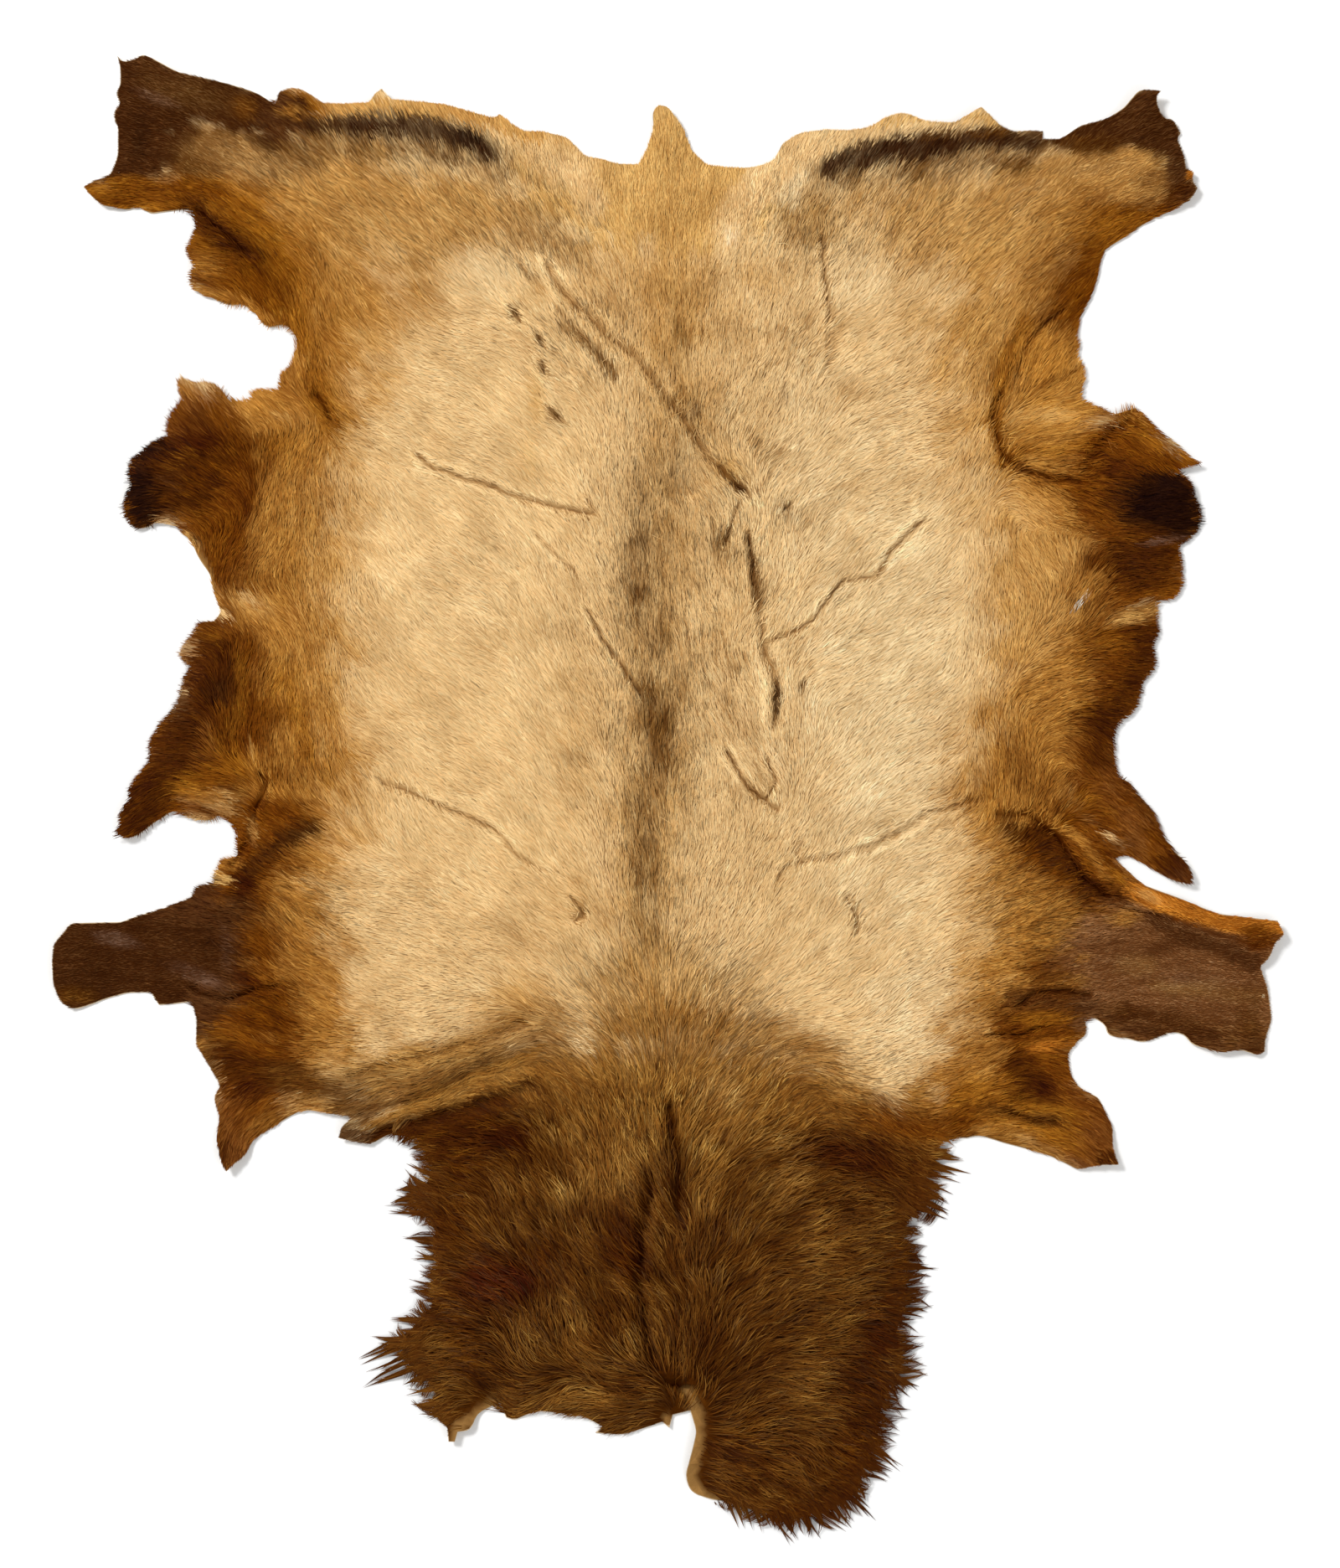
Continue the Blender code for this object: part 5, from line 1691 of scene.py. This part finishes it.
def hair_colour(x, y, angle, chance, scale=1.0):
    """One colour for each hair, from the coat's colour and its own luck. Scale widens the streaks."""
    tone = coat_colour(x, y)
    darkness = np.clip(1 - tone[:, 1] / 0.45, 0, 1)
    contrast = 0.20 + 0.75 * darkness
    fine = streak(x, y, angle, STREAK_LENGTH * scale, STREAK_WIDTH * scale, 5) - 0.5
    broad = streak(x, y, angle, STREAK_LENGTH * 2.2 * scale, STREAK_WIDTH * 3.6 * scale, 6) - 0.5
    luck = np.exp(chance.normal(0, 0.07, x.shape) + chance.normal(0, 0.20, x.shape) * darkness)
    furrow, bank, shade = crease_profile(x, y)
    # painted shade in creases and wrinkles, and a painted highlight on the creases' banks
    crease = (1 - 0.6 * shade) * (1 + np.minimum(bank * 90, 0.16)) * (1 - 0.42 * wrinkle_at(x, y))
    tone = dim(tone, (1 + contrast * (fine + 0.6 * broad)) * luck * crease)
    warmth = chance.normal(0, 0.03, x.shape)
    tone = tone * np.column_stack((1 + warmth, np.ones(len(x)), 1 - warmth))
    share = read(dark_field, x, y)
    dark = chance.random(x.shape) < share * (0.35 + 1.7 * streak(x, y, angle, 0.016, 0.0035, 7) ** 2)
    tone[dark] += (DARK_HAIR - tone[dark]) * 0.5
    return np.clip(tone, 0.0008, 0.95)


print("dark hair", DARK_HAIR.round(3))

# %% [markdown]
# The short coat is grown in one go and then cut into four strips, which keeps each mesh below two
# hundred thousand triangles. They share one set of hairs, so no seam shows between them.

# %% Grow the short coat
x, y, chance = scattered(COAT_PITCH, 21)
length = read(length_field, x, y)
short = length < LONG_HAIR * chance.uniform(0.85, 1.25, x.shape)
x, y, length = x[short], y[short], length[short]
unruly = 0.10 + 0.9 * crease_profile(x, y)[2]
angle = lie_at(x, y) + (cloud(x, y, 0.012, 4) - 0.5) * 0.5 + chance.normal(0, 1, x.shape) * unruly
length = length * chance.uniform(0.75, 1.2, x.shape)
length = stop_at_rim(x, y, angle, stop_at_creases(x, y, angle, length, chance))
kept = length > 0.0025
x, y, length, angle = x[kept], y[kept], length[kept], angle[kept]
tuft_x, tuft_y, tuft_luck = tufts(x, y, 0.0065, 31)
pull = 0.35 * np.clip(length / BODY_LENGTH, 0, 1)
pile_here = read(pile, x, y)
reach = chance.uniform(0.05, 1.15, x.shape)
hairs = {
    "x": x, "y": y, "angle": angle, "length": length,
    "pull_x": (tuft_x - x) * pull, "pull_y": (tuft_y - y) * pull,
    "width": chance.uniform(0.0010, 0.0016, x.shape) * np.clip(length / 0.012, 0.7, 1.15),
    "depth": np.clip(pile_here * 0.25, 0.0010, 0.0040),
    "rise": chance.uniform(-0.0003, 0.0005, x.shape) + (tuft_luck - 0.5) * 0.0008,
    "roll": chance.uniform(-0.28, 0.28, x.shape),
    "tone": hair_colour(x + np.cos(angle) * length * reach, y + np.sin(angle) * length * reach, angle,
                        chance),
}
STRIPS = (
    # name, from and to across the hide
    ("coat_left_flank", -2, -0.33), ("coat_left_back", -0.33, 0.0),
    ("coat_right_back", 0.0, 0.33), ("coat_right_flank", 0.33, 2),
)
coats = []
for name, low, high in STRIPS:
    inside = (x >= low) & (x < high)
    coats.append(leaf_mesh(name, {key: value[inside] for key, value in hairs.items()}))

# %% [markdown]
# The mane's hair is long enough to bend, so each is a ribbon of three or four lengths, which follows
# the lie of the hair as it goes. Long hair gathers into locks. Each ribbon leans towards the tip of its
# lock, and it stands higher in the middle of the lock than at its sides, which gives the mane its
# ropes of light and dark.

# %% Ribbons
STATIONS = 5
RIBBON_PROFILE = (0.55, 1.0, 0.85, 0.55, 0.0)
RIBBON_RISE = (-1.0, -0.25, 0.15, 0.25, 0.1)


def along_ribbon(profile, stations):
    """A profile's value at each station, for ribbons of more or fewer stations."""
    return np.interp(np.linspace(0, 1, stations), np.linspace(0, 1, len(profile)), profile)


def ribbon_mesh(name, path, width, tone):
    """Ribbons along paths of a few stations each, narrowing to a tip."""
    count, stations = path.shape[:2]
    last = stations - 1
    step = np.gradient(path[:, :, :2], axis=1)
    step /= np.linalg.norm(step, axis=2)[:, :, None] + 1e-9
    side = np.stack((-step[:, :, 1], step[:, :, 0], np.zeros(step.shape[:2])), 2)
    side *= (width[:, None] * along_ribbon(RIBBON_PROFILE, stations)[None] / 2)[:, :, None]
    points = np.empty((count, 2 * last + 1, 3))
    points[:, 0:-1:2] = path[:, :last] + side[:, :last]
    points[:, 1:-1:2] = path[:, :last] - side[:, :last]
    points[:, -1] = path[:, last]
    quads = np.array([(2 * k, 2 * k + 1, 2 * k + 3, 2 * k + 2) for k in range(last - 1)])
    base = np.arange(count)[:, None, None] * (2 * last + 1)
    point = np.array(((2 * last - 2, 2 * last - 1, 2 * last),))
    faces = [(base + quads[None]).reshape(-1, 4), (base + point[None]).reshape(-1, 3)]
    heights = np.repeat(np.arange(stations) / last, 2)[:-1]
    sides = np.append(np.tile((0, 1), last), 0.5)
    corner, size = cells(count, 4)
    maps = (corner[:, None] + np.column_stack((sides, heights))[None] * size).reshape(-1, 2)
    return build_mesh(name, points.reshape(-1, 3), faces, np.repeat(tone, 2 * last + 1, 0),
                      np.tile(heights, count), maps)


def grow_path(x, y, angle, length, bend, stations=STATIONS):
    """The stations of each ribbon, following the lie of the hair."""
    path = np.zeros((len(x), stations, 3))
    here_x, here_y = x.copy(), y.copy()
    own = angle - lie_at(x, y)
    for station in range(stations):
        path[:, station, 0], path[:, station, 1] = here_x, here_y
        lie = lie_at(here_x, here_y) + own + bend * station
        here_x = here_x + np.cos(lie) * length / (stations - 1)
        here_y = here_y + np.sin(lie) * length / (stations - 1)
    return path


def set_heights(path, depth, rise):
    """Roots deep in the coat, backs at its surface, and tips that sink towards the floor."""
    x, y = path[:, :, 0], path[:, :, 1]
    surface, ground = coat_top_at(x, y), read(under, x, y)
    out = np.clip(-read(coat_gap, x, y) / 0.05, 0, 1)
    surface = ground + (surface - ground) * (1 - 0.75 * out)
    profile = along_ribbon(RIBBON_RISE, path.shape[1])[None]
    lift = np.where(profile < 0, profile * depth[:, None], profile * rise[:, None] * 4)
    path[:, :, 2] = np.maximum(surface + lift, ground + 0.0006)
    return path


print("a ribbon has", 2 * STATIONS - 3, "triangles")

# %% [markdown]
# The mane gathers on two scales: locks a centimetre wide, and ropes of several locks. A share of
# the hairs is lightened to gold, a painted highlight on single hairs, most where the mane is dark.

# %% Grow the mane
MANE_PITCH = 0.0034
MANE_STATIONS = 4
LOCK_PITCH = 0.010
HIGHLIT_HAIR_SHARE = 0.13
ROPE_PITCH = 0.034
x, y, chance = scattered(MANE_PITCH, 57)
length = read(length_field, x, y)
long = length > LONG_HAIR * chance.uniform(0.75, 1.1, x.shape)
x, y, length = x[long], y[long], length[long] * chance.uniform(0.42, 0.85, int(long.sum()))
lock_x, lock_y, lock_luck = tufts(x, y, LOCK_PITCH, 77)
rope_x, rope_y, rope_luck = tufts(x, y, ROPE_PITCH, 79)
angle = lie_at(x, y) + (cloud(x, y, 0.03, 3) - 0.5) * 0.5 + (rope_luck - 0.5) * 0.22
angle += chance.normal(0, 0.12, x.shape)
length = stop_at_creases(x, y, angle, length, chance)
length = stop_at_rim(x, y, angle, length, 1.1 * rope_luck)
kept = length > 0.008
x, y, length, angle = x[kept], y[kept], length[kept], angle[kept]
lock_x, lock_y, lock_luck = lock_x[kept], lock_y[kept], lock_luck[kept]
rope_x, rope_y, rope_luck = rope_x[kept], rope_y[kept], rope_luck[kept]
bend = chance.normal(0, 0.10, x.shape) + (lock_luck - 0.5) * 0.12
path = grow_path(x, y, angle, length, bend, MANE_STATIONS)
gather = np.linspace(0, 1, MANE_STATIONS) ** 1.3
path[:, :, 0] += ((lock_x - x)[:, None] * 0.30 + (rope_x - x)[:, None] * 0.08) * gather[None]
path[:, :, 1] += ((lock_y - y)[:, None] * 0.30 + (rope_y - y)[:, None] * 0.08) * gather[None]
off_centre = np.hypot(lock_x - x, lock_y - y) / LOCK_PITCH
rise = 0.0010 * (1 - off_centre) + (lock_luck - 0.5) * 0.0020 + (rope_luck - 0.5) * 0.0024
rise += chance.uniform(-0.0006, 0.0010, x.shape)
depth = np.clip(read(pile, x, y) * 0.34, 0.003, 0.010)
path = set_heights(path, depth, rise)
tone = hair_colour(path[:, 2, 0], path[:, 2, 1], angle, chance, 1.2)
# painted highlight: a share of the hairs is lightened, most where the mane is dark
highlit_hair = chance.random(x.shape) < HIGHLIT_HAIR_SHARE
highlight_gain = np.where(highlit_hair, 1 + 0.5 * np.clip(1 - tone[:, 1] / 0.16, 0, 1), 0.94)
patchy = (cloud(x, y, 0.045, 6) - 0.5) * 0.4
tone = dim(tone, np.exp((lock_luck - 0.5) * 0.42 + (rope_luck - 0.5) * 0.48 + patchy) * highlight_gain)
width = chance.uniform(0.0009, 0.0016, x.shape)
mane = {"path": path, "width": width, "tone": tone}
print(len(x), "mane hairs")

# %% [markdown]
# At the rim of the mane the locks hang free and end in points. The solid's spikes say where each
# of them ends. Every spike gets its own bundle: hairs that start spread out under the coat and
# close on the tip, some of them short of it, so the lock is frayed and not a clean wedge.

# %% Locks at the rim
LOCK_HAIRS_PER_METRE = 1500
SMALL_LOCK_STEP = 4
POINTS_PER_METRE = 190
FEWEST_LOCK_HAIRS = 30
LOCK_ROOT_DEPTH = 0.005


def small_locks(chance):
    """Short locks in the gaps between the big ones, from the set-back skin out to the rim."""
    made = []
    ring = skin_rim[:, :2]
    for index in range(0, len(ring), SMALL_LOCK_STEP):
        if under_mane[index] < 0.5 or read(bare_field, *ring[index]) > 0.3:
            continue
        heading = ring[(index + 2) % len(ring)] - ring[index - 2]
        heading = heading / np.linalg.norm(heading)
        outward = np.array((heading[1], -heading[0]))
        lie = float(lie_at(*ring[index]))
        aim = outward + np.array((math.cos(lie), math.sin(lie)))
        aim = aim / np.linalg.norm(aim)
        base = ring[index] - outward * (MANE_SET_BACK + 0.002)
        half = chance.uniform(0.004, 0.009)
        tip = base + aim * (0.018 + 0.038 * chance.random() ** 1.3)
        made.append((base - heading * half, tip, base + heading * half))
    return made


def lock_paths(chance, locks):
    """Bundles of hairs that close on each lock's tip, and on smaller points beside it."""
    paths, widths = [], []
    for before, tip, after in locks:
        base = (before + after) / 2
        reach = np.linalg.norm(tip - base)
        spread_width = np.linalg.norm(after - before)
        outward = (tip - base) / (reach + 1e-9)
        side = np.array((-outward[1], outward[0]))
        count = int(FEWEST_LOCK_HAIRS + reach * LOCK_HAIRS_PER_METRE)
        points = 2 + int(spread_width * POINTS_PER_METRE)
        point = chance.integers(0, points, count)
        point_side = np.append(0, chance.uniform(-0.55, 0.55, points - 1)) * spread_width
        point_reach = np.append(1, chance.uniform(0.35, 1.0, points - 1)) * reach
        point_curl = chance.normal(0, 0.0045, points)
        offset = point_side[point] + chance.uniform(-0.5, 0.5, count) * (spread_width / points + 0.0025)
        back = chance.uniform(0.006, 0.040, count)
        end = point_reach[point] * chance.uniform(0.60, 1.20, count) ** 0.6
        stations = []
        for station in range(STATIONS):
            share = station / (STATIONS - 1)
            run = -back + (back + end) * share
            closing = np.clip(run / (point_reach[point] + 1e-6), 0, 1) ** 1.2
            sway = offset + (point_side[point] * 0.8 - offset) * closing + point_curl[point] * closing ** 2
            stations.append(base[None] + outward[None] * run[:, None] + side[None] * sway[:, None])
        paths.append(np.stack(stations, 1))
        widths.append(chance.uniform(0.0006, 0.0012, count))
    flat = np.concatenate(paths)
    return np.dstack((flat, np.zeros(flat.shape[:2]))), np.concatenate(widths)


chance = np.random.default_rng(83)
path, width = lock_paths(chance, locks + small_locks(chance))
path = set_heights(path, np.full(len(path), LOCK_ROOT_DEPTH), chance.uniform(-0.0002, 0.0008, len(path)))
angle = np.arctan2(path[:, 4, 1] - path[:, 0, 1], path[:, 4, 0] - path[:, 0, 0])
tone = dim(hair_colour(path[:, 1, 0], path[:, 1, 1], angle, chance, 1.5), 0.85)
rim_locks = {"path": path, "width": width, "tone": tone}
print(len(path), "hairs in the locks")

# %% [markdown]
# Along the belly and the lobes short hair stands over the rim, so the outline is soft and a little
# ragged. These hairs grow in a narrow row just inside the rim and point outward.

# %% Fringe of the belly and stray hairs
FRINGE_PITCH = 0.0011
FRINGE_ROOT_DEPTH = 0.0025
STRAYS = 260
STRAY_WIDTH = 0.0006


def fringe_hairs(chance):
    """Root, angle and length of the hairs that stand over the rim."""
    loop = skin_rim[:, :2]
    step = np.roll(loop, -1, 0) - loop
    reach = np.linalg.norm(step, axis=1)
    copies = np.maximum(1, np.round(reach / FRINGE_PITCH).astype(int))
    index = np.repeat(np.arange(len(loop)), copies)
    place = loop[index] + step[index] * chance.random(len(index))[:, None]
    outward = np.column_stack((step[index, 1], -step[index, 0])) / reach[index, None]
    wall = skin_rim[index, 2]
    furry = (wall > SKIN_WALL) & (wall < COAT_WALL)
    place, outward = place[furry], outward[furry]
    back = chance.uniform(0.002, 0.010, len(place))
    x, y = (place - outward * back[:, None]).T
    lie = lie_at(x, y)
    lean = np.cos(lie) * outward[:, 0] + np.sin(lie) * outward[:, 1]
    share = np.clip(0.55 + lean, 0.15, 0.9)
    aim_x = outward[:, 0] * (1 - share) + np.cos(lie) * share
    aim_y = outward[:, 1] * (1 - share) + np.sin(lie) * share
    reach = np.clip(read(length_field, x, y) * 0.26, 0.002, 0.0075)
    length = back + reach * chance.uniform(0.1, 1.4, len(place)) ** 2
    return x, y, np.arctan2(aim_y, aim_x) + chance.normal(0, 0.15, len(place)), length


chance = np.random.default_rng(91)
x, y, angle, length = fringe_hairs(chance)
path = grow_path(x, y, angle, length, np.zeros(len(x)))
path = set_heights(path, np.full(len(x), FRINGE_ROOT_DEPTH), chance.uniform(-0.0002, 0.0004, len(x)))
tone = dim(hair_colour(x, y, angle, chance), 0.9)
fringe = {"path": path, "width": chance.uniform(0.0007, 0.0014, len(x)), "tone": tone}

x, y = chance.uniform(-0.75, 0.75, STRAYS * 3), chance.uniform(-0.95, 0.85, STRAYS * 3)
kept = read(rim_gap, x, y) > 0.03
x, y = x[kept][:STRAYS], y[kept][:STRAYS]
angle = lie_at(x, y) + chance.normal(0, 0.5, len(x))
path = grow_path(x, y, angle, chance.uniform(0.02, 0.045, len(x)), chance.normal(0, 0.25, len(x)))
path = set_heights(path, np.full(len(x), 0.001), np.full(len(x), 0.0008))
stray = {"path": path, "width": np.full(len(x), STRAY_WIDTH),
         "tone": np.clip(coat_colour(x, y) * 1.25, 0, 0.9)}

manes = []
for name, groups in (("mane_hair", (mane,)), ("rim_hair", (rim_locks, fringe, stray))):
    hair = {key: np.concatenate([group[key] for group in groups]) for key in ("path", "width", "tone")}
    manes.append(ribbon_mesh(name, hair["path"], hair["width"], hair["tone"]))

# %% [markdown]
# Hair is dark at its root, a painted shade for where wool and shadow hide it, and lighter at its
# tip, where it bleaches; on the mane the tip is far lighter, a painted highlight. The finish reads
# how far along the hair a point lies and mixes the hair's own colour darker and lighter. A fine
# noise breaks up what is left of evenness. So many hairs scatter the light that next to no shine is
# left, and a bright gloss would make them look wet.

# %% Hair finish
def attribute(finish, name, output):
    return finish.node("ShaderNodeAttribute", {"attribute_name": name}, {}, output)


def hair_finish(name, root_shade, tip_bleach_and_highlight):
    finish = Finish(name, Roughness=0.6, Specular_IOR_Level=0.02)
    tone = attribute(finish, "tone", "Color")
    along = attribute(finish, "along", "Fac")
    grain = finish.node("ShaderNodeTexNoise", {"noise_dimensions": "3D"}, {"Scale": 900, "Detail": 2},
                        "Fac")
    rise = along * (2 - along)
    # painted shade at the root, and towards the tip bleaching and a painted highlight
    level = root_shade + (1 - root_shade) * rise + (tip_bleach_and_highlight - 1) * along * along
    shade = level * (0.86 + 0.28 * grain)
    grey = finish.node("ShaderNodeCombineColor", {},
                       {"Red": shade, "Green": shade ** BROWNING[1], "Blue": shade ** BROWNING[2]})
    colour = mix_colours(finish, "MULTIPLY", 1.0, tone, grey)
    finish.feed("Base Color", colour)
    finish.feed("Roughness", 0.52 + 0.2 * grain)
    return finish


coat_finish = hair_finish("short_hair", 0.72, 1.08)
mane_finish = hair_finish("long_hair", 0.32, 1.55)
for piece in coats:
    piece.data.materials.append(coat_finish.material)
for piece in manes:
    piece.data.materials.append(mane_finish.material)
print("hair finishes ready")

# %% [markdown]
# The underwool has the coat's colour made darker, most in dark coats, with painted shade along the
# creases and wrinkles, and the colour of raw skin where the coat is worn away. The leather is pale
# and matt, a little blotched, with a fine grain.

# %% Underwool and leather finishes
def vertex_places(piece):
    places = np.zeros(len(piece.data.vertices) * 3)
    piece.data.vertices.foreach_get("co", places)
    return places.reshape(-1, 3).T


x, y, z = vertex_places(wool)
bare = read(bare_field, x, y)[:, None]
wool_tone = coat_colour(x, y)
# darker than the coat, with painted shade along creases and wrinkles
wool_tone = dim(wool_tone, 0.84 - 0.26 * np.clip(1 - wool_tone[:, 1] / 0.45, 0, 1)
                - 0.42 * crease_profile(x, y)[2] - 0.12 * wrinkle_at(x, y))
set_tone(wool.data, wool_tone * (1 - bare) + colours["raw skin"] * bare)

wool_finish = Finish("underwool", Roughness=0.9, Specular_IOR_Level=0.0)
wool_noise = wool_finish.node("ShaderNodeTexNoise", {}, {"Scale": 420, "Detail": 3}, "Fac")
wool_level = 0.8 + 0.4 * wool_noise
wool_grey = wool_finish.node("ShaderNodeCombineColor", {},
                             {"Red": wool_level, "Green": wool_level, "Blue": wool_level})
wool_finish.feed("Base Color", mix_colours(wool_finish, "MULTIPLY", 1.0,
                                           attribute(wool_finish, "tone", "Color"), wool_grey))
wool_finish.feed("Normal", wool_finish.node("ShaderNodeBump", {}, {
    "Height": wool_noise, "Strength": 0.6, "Distance": 0.002}))
wool.data.materials.append(wool_finish.material)

leather_finish = Finish("leather", Roughness=0.85, Specular_IOR_Level=0.25, Sheen_Weight=0.15)
blotch = leather_finish.node("ShaderNodeTexNoise", {}, {"Scale": 9, "Detail": 5}, "Fac")
grain = leather_finish.node("ShaderNodeTexNoise", {}, {"Scale": 700, "Detail": 4}, "Fac")
leather_colour = leather_finish.node("ShaderNodeValToRGB", {"stops": (
    (0.30, (0.38, 0.25, 0.11, 1)), (0.55, (0.48, 0.33, 0.17, 1)), (0.75, (0.56, 0.41, 0.24, 1)))},
    {"Fac": blotch})
leather_finish.feed("Base Color", leather_colour)
leather_finish.feed("Normal", leather_finish.node("ShaderNodeBump", {}, {
    "Height": grain, "Strength": 0.4, "Distance": 0.0006}))
skin.data.materials.append(leather_finish.material)

# %% [markdown]
# Last, every piece is told what it belongs to, the packed solid is hidden, and the triangles in
# all are counted.

# %% Hand over
pieces = [skin, wool, *coats, *manes]
for piece in pieces:
    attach(piece, "root")
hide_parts("hide")

total = sum(len(polygon.vertices) - 2 for piece in pieces for polygon in piece.data.polygons)
print("triangles in all", total)
